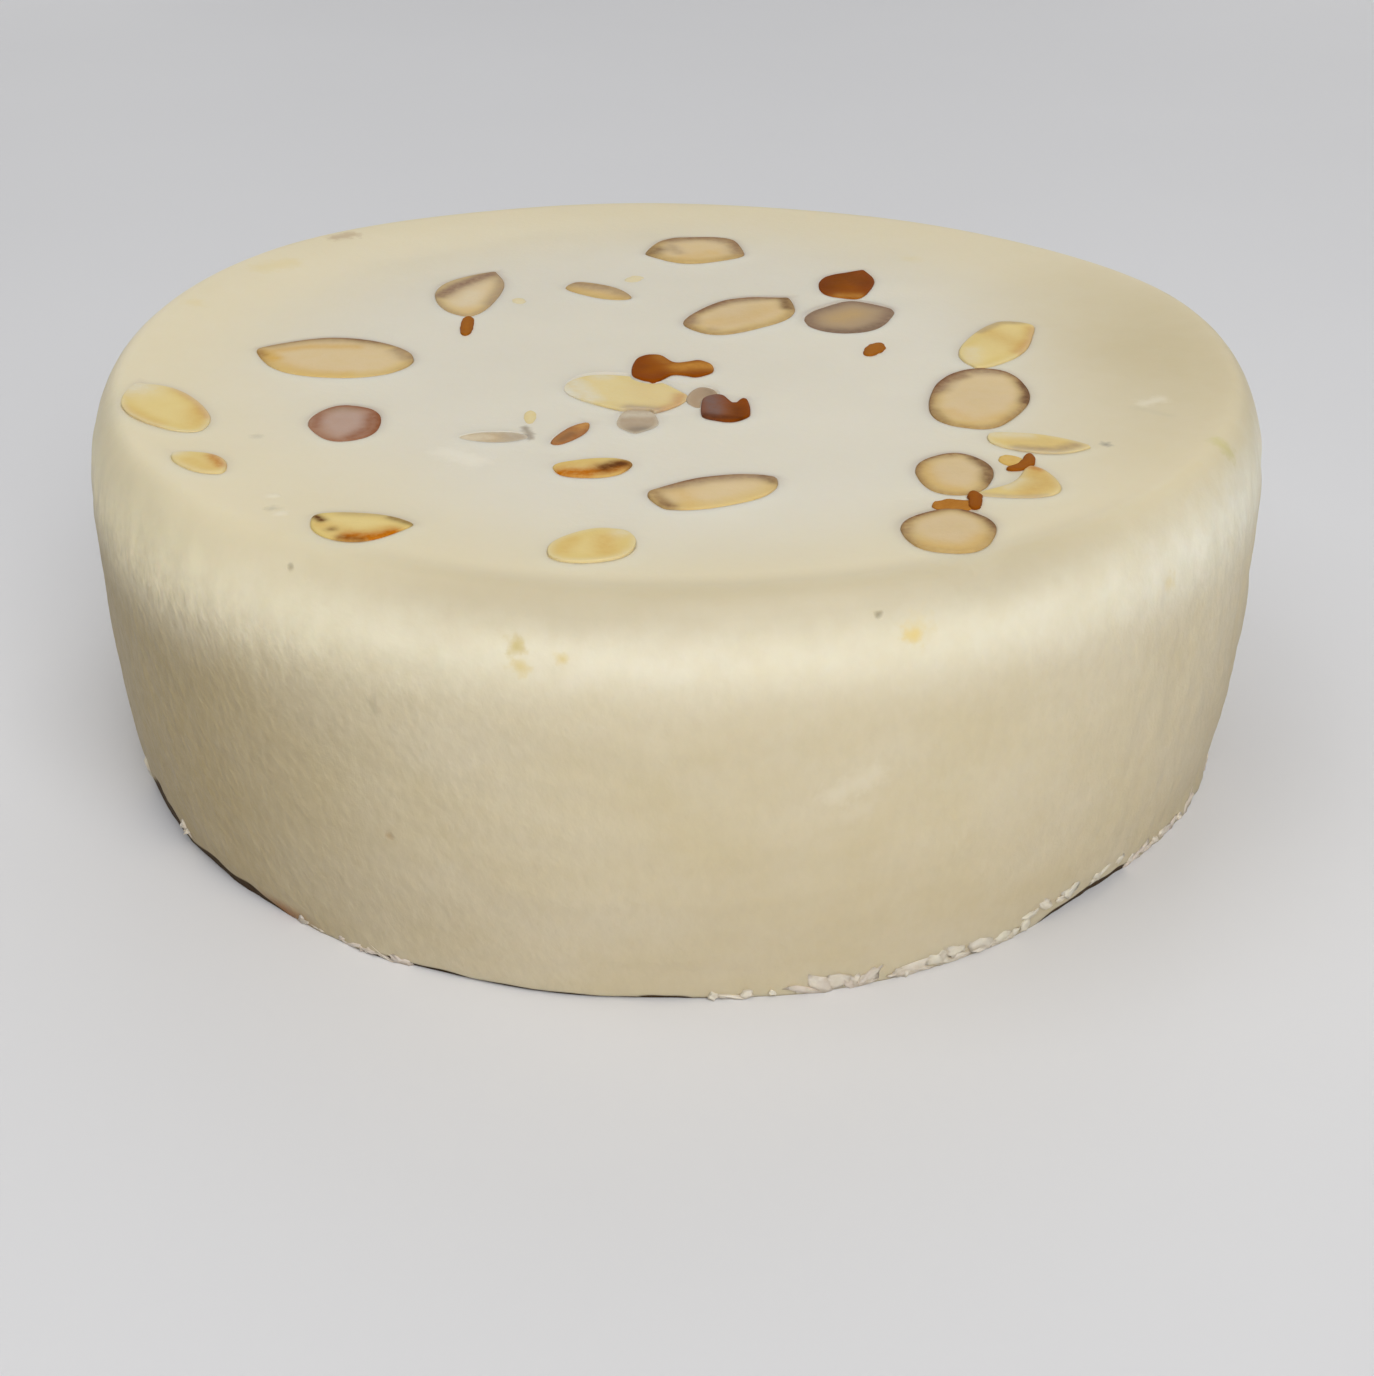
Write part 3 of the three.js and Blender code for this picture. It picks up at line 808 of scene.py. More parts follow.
PIECE_LOOKS: dict[str, PieceLook] = {
    "slice_back": PieceLook(Look.FLESH, rim=0.65, rim_width=1.6, towards=(0.1, 0.4), marks=(
        Mark(Ink.DARK, ((-4.2, 50.0), (-3.2, 52.0)), 1.9, 0.6),
        Mark(Ink.MAUVE, ((-1.0, 57.5), (5.0, 59.5), (10.5, 56.0), (11.0, 50.5)), 1.9, 0.7),
        Mark(Ink.MAUVE, ((-1.0, 55.0), (0.5, 50.0)), 1.2, 0.45),
        Mark(Ink.GOLD, ((2.0, 47.0), (6.0, 49.5)), 2.6, 0.35),
    )),
    "slice_back_left": PieceLook(Look.FLESH, rim=0.5, rim_width=1.0, film=0.12, marks=(
        Mark(Ink.SKIN, ((-39.0, 26.0), (-36.6, 31.0), (-33.0, 36.0), (-31.0, 38.6)), 2.0, 0.9),
        Mark(Ink.MAUVE, ((-29.9, 37.0), (-29.4, 30.0), (-30.6, 22.0)), 1.2, 0.6),
        Mark(Ink.FILM, ((-34.5, 22.0), (-33.5, 27.0)), 2.4, 0.35),
        Mark(Ink.GOLD, ((-33.4, 17.6),), 2.2, 0.5),
    )),
    "stick_back": PieceLook(Look.FLESH, rim=0.2, rim_width=0.9, halo=0.3, marks=(
        Mark(Ink.MAUVE, ((-17.0, 32.0), (-11.0, 29.6), (-8.0, 26.6)), 2.2, 0.7),
        Mark(Ink.SKIN, ((-17.5, 33.0), (-11.5, 31.0)), 1.1, 0.3),
        Mark(Ink.GOLD, ((-16.0, 29.5), (-9.5, 25.4)), 2.0, 0.4),
    )),
    "slice_mid_back": PieceLook(Look.FLESH, rim=0.75, rim_width=1.2, towards=(-0.2, 0.3), marks=(
        Mark(Ink.MAUVE, ((9.5, 16.0),), 7.0, 0.12),
        Mark(Ink.MAUVE, ((3.4, 18.0), (8.5, 22.6), (15.0, 24.8)), 1.7, 0.8),
        Mark(Ink.DARK, ((17.6, 24.6), (18.0, 19.5)), 1.1, 0.7),
        Mark(Ink.MAUVE, ((2.2, 15.5), (2.4, 12.0)), 1.5, 0.8),
        Mark(Ink.SKIN, ((5.5, 8.2),), 1.6, 0.3),
        Mark(Ink.GOLD, ((6.0, 12.0), (11.0, 14.0), (15.0, 19.0)), 2.6, 0.3),
    )),
    "skin_back_right": PieceLook(Look.SKIN, halo=0.4, marks=(
        Mark(Ink.DARK, ((25.5, 30.5), (28.0, 36.5), (31.0, 33.0)), 3.0, 0.35),
        Mark(Ink.GOLD, ((27.0, 25.6), (30.0, 25.6)), 1.4, 0.6),
    )),
    "slice_grey": PieceLook(Look.SUNK, rim=0.9, rim_width=1.7, marks=(
        Mark(Ink.DARK, ((24.0, 9.0), (28.0, 8.0), (32.0, 11.5)), 1.3, 0.3),
        Mark(Ink.GOLD, ((26.0, 14.5), (28.5, 17.0)), 2.6, 0.3),
    )),
    "slice_left": PieceLook(Look.FLESH, rim=0.65, rim_width=0.9, towards=(0.1, 0.7), marks=(
        Mark(Ink.MAUVE, ((-62.0, 1.4), (-57.0, 4.0), (-50.0, 4.0), (-45.0, 2.0)), 1.9, 0.55),
        Mark(Ink.DARK, ((-49.5, 4.2), (-46.5, 3.0)), 1.2, 0.3),
        Mark(Ink.MAUVE, ((-42.6, -1.0), (-40.8, -4.4)), 1.4, 0.7),
        Mark(Ink.SKIN, ((-63.6, -1.6), (-62.8, -3.4)), 1.0, 0.5),
        Mark(Ink.GOLD, ((-63.0, -2.0), (-60.8, -5.0)), 1.6, 0.9),
        Mark(Ink.GOLD, ((-61.5, -1.5), (-56.0, 0.6), (-49.0, 0.4)), 1.3, 0.55),
        Mark(Ink.GOLD, ((-61.0, -6.0), (-55.0, -11.0), (-49.0, -11.8)), 1.8, 0.35),
    )),
    "slice_left_edge": PieceLook(Look.YELLOW, veil=0.3, halo=0.25, marks=(
        Mark(Ink.FILM, ((-78.5, -18.5),), 4.0, 0.75),
        Mark(Ink.SKIN, ((-72.0, -19.0), (-68.0, -24.0), (-65.4, -29.5)), 0.9, 0.4),
        Mark(Ink.GOLD, ((-66.4, -32.0), (-67.5, -27.5)), 1.8, 0.45),
        Mark(Ink.GOLD, ((-77.5, -27.5), (-71.5, -33.0)), 1.2, 0.45),
    )),
    "sliver_left": PieceLook(Look.YELLOW, veil=0.25, halo=0.2, marks=(
        Mark(Ink.SKIN, ((-61.6, -44.0), (-59.8, -47.4)), 1.0, 0.7),
        Mark(Ink.GOLD, ((-64.0, -46.0), (-61.0, -49.0)), 1.5, 0.35),
        Mark(Ink.FILM, ((-67.6, -42.6),), 2.2, 0.85),
    )),
    "slice_rosy": PieceLook(Look.ROSY, rim=0.95, rim_width=1.0, towards=(0.3, 0.2), marks=(
        Mark(Ink.SKIN, ((-42.6, -28.0), (-42.4, -33.0), (-44.5, -36.8)), 1.2, 0.7),
        Mark(Ink.SKIN, ((-50.2, -28.0), (-50.0, -32.5)), 1.0, 0.6),
        Mark(Ink.MAUVE, ((-48.5, -26.0), (-45.5, -25.6)), 1.5, 0.5),
    )),
    "slice_front_left": PieceLook(Look.YELLOW, halo=0.3, marks=(
        Mark(Ink.DARK, ((-44.7, -63.9), (-43.7, -65.2)), 0.65, 1.0),
        Mark(Ink.DARK, ((-42.0, -68.0),), 0.7, 0.7),
        Mark(Ink.SKIN, ((-39.6, -70.2), (-37.0, -70.2), (-35.2, -69.3), (-34.4, -68.6)), 1.4, 1.0),
        Mark(Ink.DARK, ((-40.6, -70.4), (-38.0, -71.0)), 0.7, 0.5),
        Mark(Ink.DARK, ((-35.2, -63.9), (-32.6, -65.6)), 0.8, 0.65),
        Mark(Ink.GOLD, ((-43.5, -66.5), (-39.0, -69.0), (-35.5, -67.5)), 1.3, 0.45),
        Mark(Ink.MAUVE, ((-41.5, -62.8), (-36.0, -63.0)), 0.9, 0.4),
    )),
    "slice_centre": PieceLook(Look.YELLOW, veil=0.26, film=0.18, halo=0.15, marks=(
        Mark(Ink.FILM, ((-15.0, -14.0), (-12.0, -22.0)), 2.2, 0.7),
        Mark(Ink.FILM, ((-11.0, -11.0),), 2.5, 0.6),
        Mark(Ink.FILM, ((-17.4, -17.0), (-15.6, -21.0)), 3.0, 0.95),
        Mark(Ink.SKIN, ((0.6, -19.5), (0.2, -23.5), (-1.4, -26.0)), 1.2, 0.6),
        Mark(Ink.MAUVE, ((-6.5, -25.6), (-2.5, -26.4)), 1.4, 0.8),
        Mark(Ink.GOLD, ((-5.0, -17.0), (-3.0, -23.0)), 2.6, 0.25),
    )),
    "skin_centre": PieceLook(Look.SKIN, halo=0.3, marks=(
        Mark(Ink.GOLD, ((0.6, -8.6), (3.5, -8.0), (5.0, -8.0)), 2.0, 0.85),
        Mark(Ink.GOLD, ((-2.6, -4.0), (-1.4, -6.5)), 1.2, 0.4),
        Mark(Ink.DARK, ((-4.8, -8.5),), 1.4, 0.2),
    )),
    "chip_mauve": PieceLook(Look.SUNK, veil=0.4, film=0.2, halo=0.2, marks=(
        Mark(Ink.MAUVE, ((-7.0, -29.0), (-5.2, -31.5), (-3.6, -29.0)), 2.0, 0.75),
        Mark(Ink.DARK, ((-5.8, -33.0), (-4.4, -32.8)), 1.2, 0.75),
        Mark(Ink.FILM, ((-7.0, -27.4), (-3.8, -27.4)), 1.8, 0.5),
    )),
    "chip_lilac": PieceLook(Look.SUNK, veil=0.15, film=0.05, halo=0.2, marks=(
        Mark(Ink.MAUVE, ((3.5, -18.0), (3.2, -23.0)), 2.0, 0.8),
        Mark(Ink.DARK, ((5.2, -17.5), (5.4, -20.5)), 1.1, 0.35),
    )),
    "chip_dark": PieceLook(Look.SKIN, halo=0.4, marks=(
        Mark(Ink.MAUVE, ((4.8, -21.0), (5.2, -27.0)), 2.1, 0.9),
        Mark(Ink.DARK, ((3.9, -28.0), (5.6, -28.9), (9.0, -29.4)), 0.9, 0.7),
        Mark(Ink.DARK, ((8.6, -25.5), (8.6, -28.0)), 1.4, 0.45),
    )),
    "sliver_pale": PieceLook(Look.SUNK, veil=0.5, film=0.32, halo=0.1, marks=(
        Mark(Ink.GOLD, ((-28.6, -36.0), (-25.0, -36.0)), 1.7, 0.55),
        Mark(Ink.FILM, ((-28.8, -36.0), (-26.0, -36.0)), 1.8, 0.6),
        Mark(Ink.SKIN, ((-23.6, -35.6), (-21.0, -35.6)), 1.3, 0.35),
    )),
    "splinter_brown": PieceLook(Look.SKIN, film=0.08, halo=0.3, marks=(
        Mark(Ink.GOLD, ((-12.4, -31.6), (-14.2, -34.6), (-16.0, -37.6)), 1.6, 0.55),
        Mark(Ink.GOLD, ((-12.2, -31.2), (-13.2, -32.8)), 1.3, 0.9),
        Mark(Ink.DARK, ((-15.7, -37.6), (-14.4, -35.2)), 0.7, 0.5),
    )),
    "sliver_centre": PieceLook(Look.YELLOW, halo=0.2, marks=(
        Mark(Ink.SKIN, ((-15.0, -48.9), (-12.0, -49.0), (-9.0, -47.9), (-7.0, -46.4)), 1.7, 0.95),
        Mark(Ink.DARK, ((-9.4, -47.4), (-8.0, -46.2), (-6.9, -46.0)), 1.3, 0.95),
        Mark(Ink.GOLD, ((-14.8, -46.0), (-11.0, -45.4)), 1.4, 0.5),
    )),
    "slice_half": PieceLook(Look.FLESH, rim=0.75, rim_width=0.8, towards=(-0.4, 0.75), marks=(
        Mark(Ink.MAUVE, ((-1.0, -53.4), (4.0, -51.0), (9.0, -49.9), (12.4, -50.2)), 1.5, 0.85),
        Mark(Ink.DARK, ((11.6, -50.3), (12.5, -51.8)), 0.9, 0.5),
        Mark(Ink.SKIN, ((-2.9, -54.6), (-2.2, -57.6), (-1.0, -59.4)), 1.1, 0.6),
        Mark(Ink.DARK, ((-1.8, -58.6), (-0.2, -59.8)), 0.6, 0.35),
        Mark(Ink.GOLD, ((0.6, -55.0), (1.6, -58.5)), 1.6, 0.35),
    )),
    "slice_front": PieceLook(Look.YELLOW, veil=0.3, halo=0.15, marks=(
        Mark(Ink.GOLD, ((-8.4, -73.5), (-8.6, -69.5)), 1.7, 0.6),
        Mark(Ink.GOLD, ((-13.6, -73.5), (-12.6, -70.0)), 1.4, 0.45),
        Mark(Ink.FILM, ((-6.5, -67.4),), 1.6, 0.45),
    )),
    "slice_right_back": PieceLook(Look.YELLOW, veil=0.2, halo=0.3, marks=(
        Mark(Ink.MAUVE, ((50.0, 3.0),), 6.0, 0.08),
        Mark(Ink.GOLD, ((49.0, 7.0), (52.0, 2.0)), 2.2, 0.45),
        Mark(Ink.SKIN, ((56.0, 9.0), (55.0, 4.0), (52.0, -2.0)), 1.1, 0.45),
        Mark(Ink.MAUVE, ((47.4, 7.6), (51.0, 12.0), (54.5, 12.0)), 1.1, 0.6),
        Mark(Ink.FILM, ((44.4, -6.0), (45.0, -1.0)), 1.6, 0.4),
    )),
    "slice_right_large": PieceLook(Look.FLESH, rim=0.9, rim_width=1.0, towards=(0.0, 0.3), marks=(
        Mark(Ink.MAUVE, ((43.6, -21.5),), 7.0, 0.1),
        Mark(Ink.MAUVE, ((38.0, -18.0), (39.6, -13.6), (43.0, -10.4), (47.5, -10.6)), 1.7, 0.85),
        Mark(Ink.SKIN, ((39.4, -14.6), (42.4, -12.6)), 1.0, 0.5),
        Mark(Ink.DARK, ((50.8, -15.5), (50.8, -19.5), (49.8, -23.0)), 1.0, 0.75),
        Mark(Ink.DARK, ((36.4, -26.0), (37.4, -30.4)), 0.9, 0.3),
        Mark(Ink.GOLD, ((38.5, -27.0), (41.0, -31.0), (45.5, -29.0)), 1.8, 0.35),
    )),
    "sliver_right": PieceLook(Look.YELLOW, veil=0.28, halo=0.1, marks=(
        Mark(Ink.MAUVE, ((49.0, -38.0),), 5.0, 0.12),
        Mark(Ink.FILM, ((43.6, -35.4), (48.0, -35.4)), 1.4, 0.5),
        Mark(Ink.MAUVE, ((46.0, -40.4), (51.0, -41.2), (54.0, -39.4)), 1.3, 0.7),
        Mark(Ink.GOLD, ((46.0, -38.0), (52.0, -39.0)), 1.6, 0.3),
    )),
    "slice_right_mid": PieceLook(Look.FLESH, rim=0.85, rim_width=0.9, towards=(0.1, 0.3), marks=(
        Mark(Ink.MAUVE, ((36.4, -48.8),), 6.0, 0.13),
        Mark(Ink.DARK, ((39.6, -44.0), (40.9, -47.5), (40.4, -51.5)), 1.0, 0.6),
        Mark(Ink.SKIN, ((33.5, -43.4), (37.5, -42.6)), 1.0, 0.5),
        Mark(Ink.GOLD, ((32.4, -46.0), (33.0, -52.0), (36.0, -54.6)), 1.5, 0.45),
    )),
    "slice_right_hook": PieceLook(Look.YELLOW, veil=0.2, halo=0.25, marks=(
        Mark(Ink.MAUVE, ((46.0, -52.5),), 4.5, 0.15),
        Mark(Ink.GOLD, ((47.0, -48.5), (47.6, -53.0), (45.0, -56.0)), 1.9, 0.65),
        Mark(Ink.SKIN, ((46.6, -46.6), (47.6, -47.8)), 0.9, 0.7),
        Mark(Ink.MAUVE, ((39.0, -56.2), (43.0, -57.4), (47.0, -57.2)), 0.8, 0.5),
        Mark(Ink.FILM, ((42.5, -54.0), (44.6, -51.4)), 1.0, 0.4),
    )),
    "slice_right_front": PieceLook(Look.FLESH, rim=0.9, rim_width=1.0, towards=(0.0, 0.45), marks=(
        Mark(Ink.MAUVE, ((33.3, -67.2),), 6.0, 0.13),
        Mark(Ink.DARK, ((37.4, -61.6), (38.8, -64.0), (39.1, -66.8)), 0.9, 0.6),
        Mark(Ink.SKIN, ((28.4, -65.0), (28.0, -68.5)), 0.9, 0.5),
        Mark(Ink.GOLD, ((30.0, -72.0), (34.5, -73.4), (37.0, -70.5)), 1.7, 0.45),
    )),
}


@dataclass(frozen=True)
class Streak:
    """A small mark in the custard's skin, a spot where it has no length.

    A sink above zero is a pit, and one below zero stands up.
    """

    start: Spot3
    radius: float
    colour: Tone
    share: float
    end: Spot3 | None = None
    sink: float = 0.0

    @property
    def along(self) -> Spot3:
        """The way from start to end, in metres."""
        end = self.end or self.start
        return tuple((far - near) * MM for far, near in zip(end, self.start))


OIL = tone(206, 186, 112)
OIL_BRIGHT = tone(230, 204, 122)
OIL_GREEN = tone(200, 190, 120)
OIL_FAINT = tone(224, 205, 146)
# Pinholes and dimples are painted darker than the custard round them: painted shade in pits that only the
# bump sinks.
PINHOLE = tone(132, 120, 88)
DIMPLE = tone(180, 172, 146)
SKIN_WHITE = tone(246, 240, 222)
BROWNED = tone(178, 146, 104)
SMEAR = tone(126, 106, 80)
SPECK = tone(120, 112, 98)

STREAKS: tuple[Streak, ...] = (
    Streak((-18.4, -86.0, 50.9), 1.15, OIL, 0.75),
    Streak((-18.0, -86.6, 48.6), 1.1, OIL_FAINT, 0.85),
    Streak((-13.1, -87.2, 49.8), 0.8, OIL_FAINT, 0.9),
    Streak((28.1, -82.8, 51.1), 1.9, OIL_FAINT, 0.45),
    Streak((27.7, -82.9, 50.7), 1.2, OIL_BRIGHT, 0.7),
    Streak((23.5, -83.2, 53.5), 0.45, PINHOLE, 0.6, sink=0.6),
    Streak((-46.6, -72.2, 54.3), 0.5, PINHOLE, 0.45, sink=0.6),
    Streak((-36.6, -81.4, 40.9), 0.7, PINHOLE, 0.2, end=(-36.5, -81.5, 39.5), sink=0.3),
    Streak((-35.7, -81.7, 21.9), 0.7, BROWNED, 0.6, sink=0.6),
    Streak((-50.7, -60.6, 56.9), 0.9, DIMPLE, 0.45, sink=0.5),
    Streak((-57.3, -35.6, 56.5), 1.0, DIMPLE, 0.35, sink=0.4),
    Streak((-51.3, -56.5, 57.0), 0.9, SKIN_WHITE, 0.3, sink=-0.4),
    Streak((-49.4, -62.2, 57.0), 1.0, SKIN_WHITE, 0.3, sink=-0.4),
    Streak((-31.0, -41.0, 56.5), 2.2, SKIN_WHITE, 0.3, end=(-27.0, -44.0, 56.5), sink=-0.2),
    Streak((19.0, -87.1, 31.2), 1.6, SKIN_WHITE, 0.2, end=(23.8, -85.9, 33.3)),
    Streak((20.5, -86.9, 27.8), 1.3, SKIN_WHITE, 0.1, end=(23.0, -86.2, 28.6)),
    Streak((66.6, -23.2, 56.6), 1.3, SKIN_WHITE, 0.3, end=(69.4, -21.6, 56.8), sink=-0.15),
    Streak((65.2, -24.3, 56.5), 0.9, DIMPLE, 0.15, end=(69.0, -28.4, 56.8), sink=0.15),
    Streak((73.4, -38.4, 56.4), 1.5, OIL_GREEN, 0.6, end=(75.6, -38.9, 55.8)),
    Streak((63.2, -60.5, 46.3), 1.2, OIL_FAINT, 0.5),
    Streak((-60.6, 54.8, 58.2), 1.6, BROWNED, 0.55, end=(-58.0, 57.2, 57.8)),
    Streak((-70.1, 36.1, 58.3), 2.2, OIL_FAINT, 0.5, end=(-66.0, 40.0, 58.2)),
    Streak((-77.4, 17.8, 58.1), 1.8, OIL_FAINT, 0.45),
    Streak((41.0, 47.5, 56.6), 2.0, OIL_FAINT, 0.3),
    Streak((-20.9, -32.4, 56.4), 0.7, SMEAR, 0.7, end=(-19.9, -36.2, 56.4)),
    Streak((58.3, -38.4, 56.5), 0.8, SPECK, 0.7),
)


@dataclass(frozen=True)
class CustardFinish:
    """The custard's colours and surface."""

    centre: Tone = tone(223, 216, 197)
    margin: Tone = tone(226, 213, 178)
    # Painted shade: a darker, browner right side of the top, where it falls away from the lights.
    tan: Tone = tone(201, 185, 144)
    # Painted shade: a darker ring just inside the front rim, where the top turns away from the lights.
    front_rim_shade: Tone = tone(194, 181, 149)
    upper_side: Tone = tone(217, 203, 168)
    lower_side: Tone = tone(206, 190, 155)
    shaded: Tone = tone(159, 136, 80)
    # The shoulder's pale tones: partly its paler, mottled skin, partly a painted highlight where it faces
    # the lights.
    pale: Tone = tone(243, 239, 222)
    warm: Tone = tone(255, 242, 204)
    oily: Tone = tone(228, 214, 158)
    grey: Tone = tone(208, 198, 178)
    olive: Tone = tone(194, 178, 138)
    # Painted shade for the hollows of the side's fine ripples.
    ripple_shade: Tone = tone(136, 114, 72)
    # Painted shade on the custard round each almond piece, strongest behind it.
    halo: Tone = tone(160, 136, 122)
    # Painted highlight on the custard's lip in front of each almond piece.
    lip: Tone = tone(248, 243, 230)
    stain: Tone = tone(150, 98, 44)
    # Near-black painted shadow in the foot's undercuts.
    gap: Tone = tone(66, 46, 20)
    cloud_share: float = 0.3
    cloud_lost: float = 0.25
    pale_and_highlight_share: float = 0.62
    pale_and_highlight_runs: Pair = (0.74, 0.32)
    oil_share: float = 0.2
    haze_share: float = 0.08
    ripple_shade_share: float = 0.09
    lip_highlight_share: float = 0.08
    pore_share: float = 0.25
    bump: Pair = (0.5, 0.0004)
    roughness: float = 0.46
    patch_roughness: float = 0.1
    shadow_gap_roughness: float = 0.5
    shine: float = 0.4
    glow: float = 0.25
    glow_reach: Spot3 = (0.006, 0.0045, 0.0025)
    streaks: tuple[Streak, ...] = STREAKS

    def colour(self, paint: Paint) -> Socket:
        """Paints the custard's zones, patches and stains.

        Args:
            paint: The material that is painted.

        Returns:
            The colour's socket.
        """
        side, shoulder, shaded = (paint.mask(name) for name in ("side", "shoulder", "shaded"))
        wide = paint.blotches(scale=45.0, contrast=2.2)
        middling = paint.blotches(scale=85.0, contrast=2.8, stretch=(1.6, 1.6, 1.0))
        runs = paint.blotches(scale=260.0, contrast=3.4, stretch=(1.0, 1.0, 1.2))
        fine = paint.blotches(scale=700.0, contrast=3.0, stretch=(1.0, 1.0, 1.6))
        top = paint.mix(paint.mask("margin"), self.centre, self.margin)
        # Painted shade on the top: a darker ring just inside the front rim, then a darker right side.
        for name in ("front_rim_shade", "tan"):
            top = paint.mix(paint.mask(name), top, getattr(self, name))
        flank = paint.mix(paint.mask("low"), self.upper_side, self.lower_side)
        colour = paint.mix(side, top, paint.mix(shaded, flank, self.shaded))
        cloudy = paint.times(side, paint.line(self.cloud_share, -self.cloud_lost, shaded))
        colour = paint.mix(cloudy, colour, paint.mix(middling, self.olive, self.grey))
        # A pale, patchy belt round the shoulder, stronger on the flanks: paler mottled skin and a painted
        # highlight.
        patchy = paint.times(shoulder, paint.line(*self.pale_and_highlight_runs, runs))
        pale = paint.mix(paint.mask("warm"), self.pale, self.warm)
        colour = paint.mix(paint.times(patchy, self.pale_and_highlight_share, clamp=True), colour, pale)
        oily = paint.times(shoulder, paint.times(wide, self.oil_share))
        colour = paint.mix(oily, colour, self.oily)
        colour = paint.mix(paint.times(wide, self.haze_share), colour, self.pale)
        # Dark specks on the side, more where it is rough: painted shade standing in for the fine ripples'
        # hollows.
        ripple_shade_specks = paint.times(paint.times(fine, side), paint.mask("rough"))
        colour = paint.mix(paint.times(ripple_shade_specks, self.ripple_shade_share), colour, self.ripple_shade)
        # Painted highlight on the lip in front of each almond piece.
        colour = paint.mix(paint.times(paint.mask("lip"), self.lip_highlight_share), colour, self.lip)
        # Painted shade round the almond pieces, a brown stain at the foot, and painted shadow in the
        # undercuts.
        for name in ("halo", "stain", "gap"):
            colour = paint.mix(paint.mask(name), colour, getattr(self, name))
        return colour

    def material(self) -> bpy.types.Material:
        """Makes the custard's material.

        Returns:
            The material, which reads the body's masks.
        """
        paint = Paint("custard_finish")
        colour = self.colour(paint)
        side = paint.mask("side")
        slanted = paint.grain(scale=640.0, stretch=1.5, twist=3.0)
        slanted = paint.times(slanted, paint.times(side, paint.mask("rough")))
        pores = paint.times(paint.grain(scale=900.0), self.pore_share)
        height = paint.plus(paint.times(slanted, side), pores)
        ragged = paint.blotches(scale=800.0, contrast=2.5)
        for streak in self.streaks:
            mask = paint.effect(
                Effects.streak(),
                Vector=paint.place,
                Start=tuple(part * MM for part in streak.start),
                Along=streak.along,
                Radius=streak.radius * MM,
                Ragged=ragged,
            )
            colour = paint.mix(paint.times(mask, streak.share), colour, streak.colour)
            if streak.sink:
                height = paint.math("SUBTRACT", height, paint.times(mask, streak.sink))
        patchy = paint.times(paint.blotches(scale=260.0, contrast=2.6), self.patch_roughness)
        dull = paint.plus(patchy, paint.times(paint.mask("gap"), self.shadow_gap_roughness))
        paint.coat(colour, paint.plus(self.roughness, dull))
        paint.bump(height, *self.bump)
        paint.glow(self.glow, self.glow_reach)
        paint.shader.inputs["Specular IOR Level"].default_value = self.shine
        return paint.material


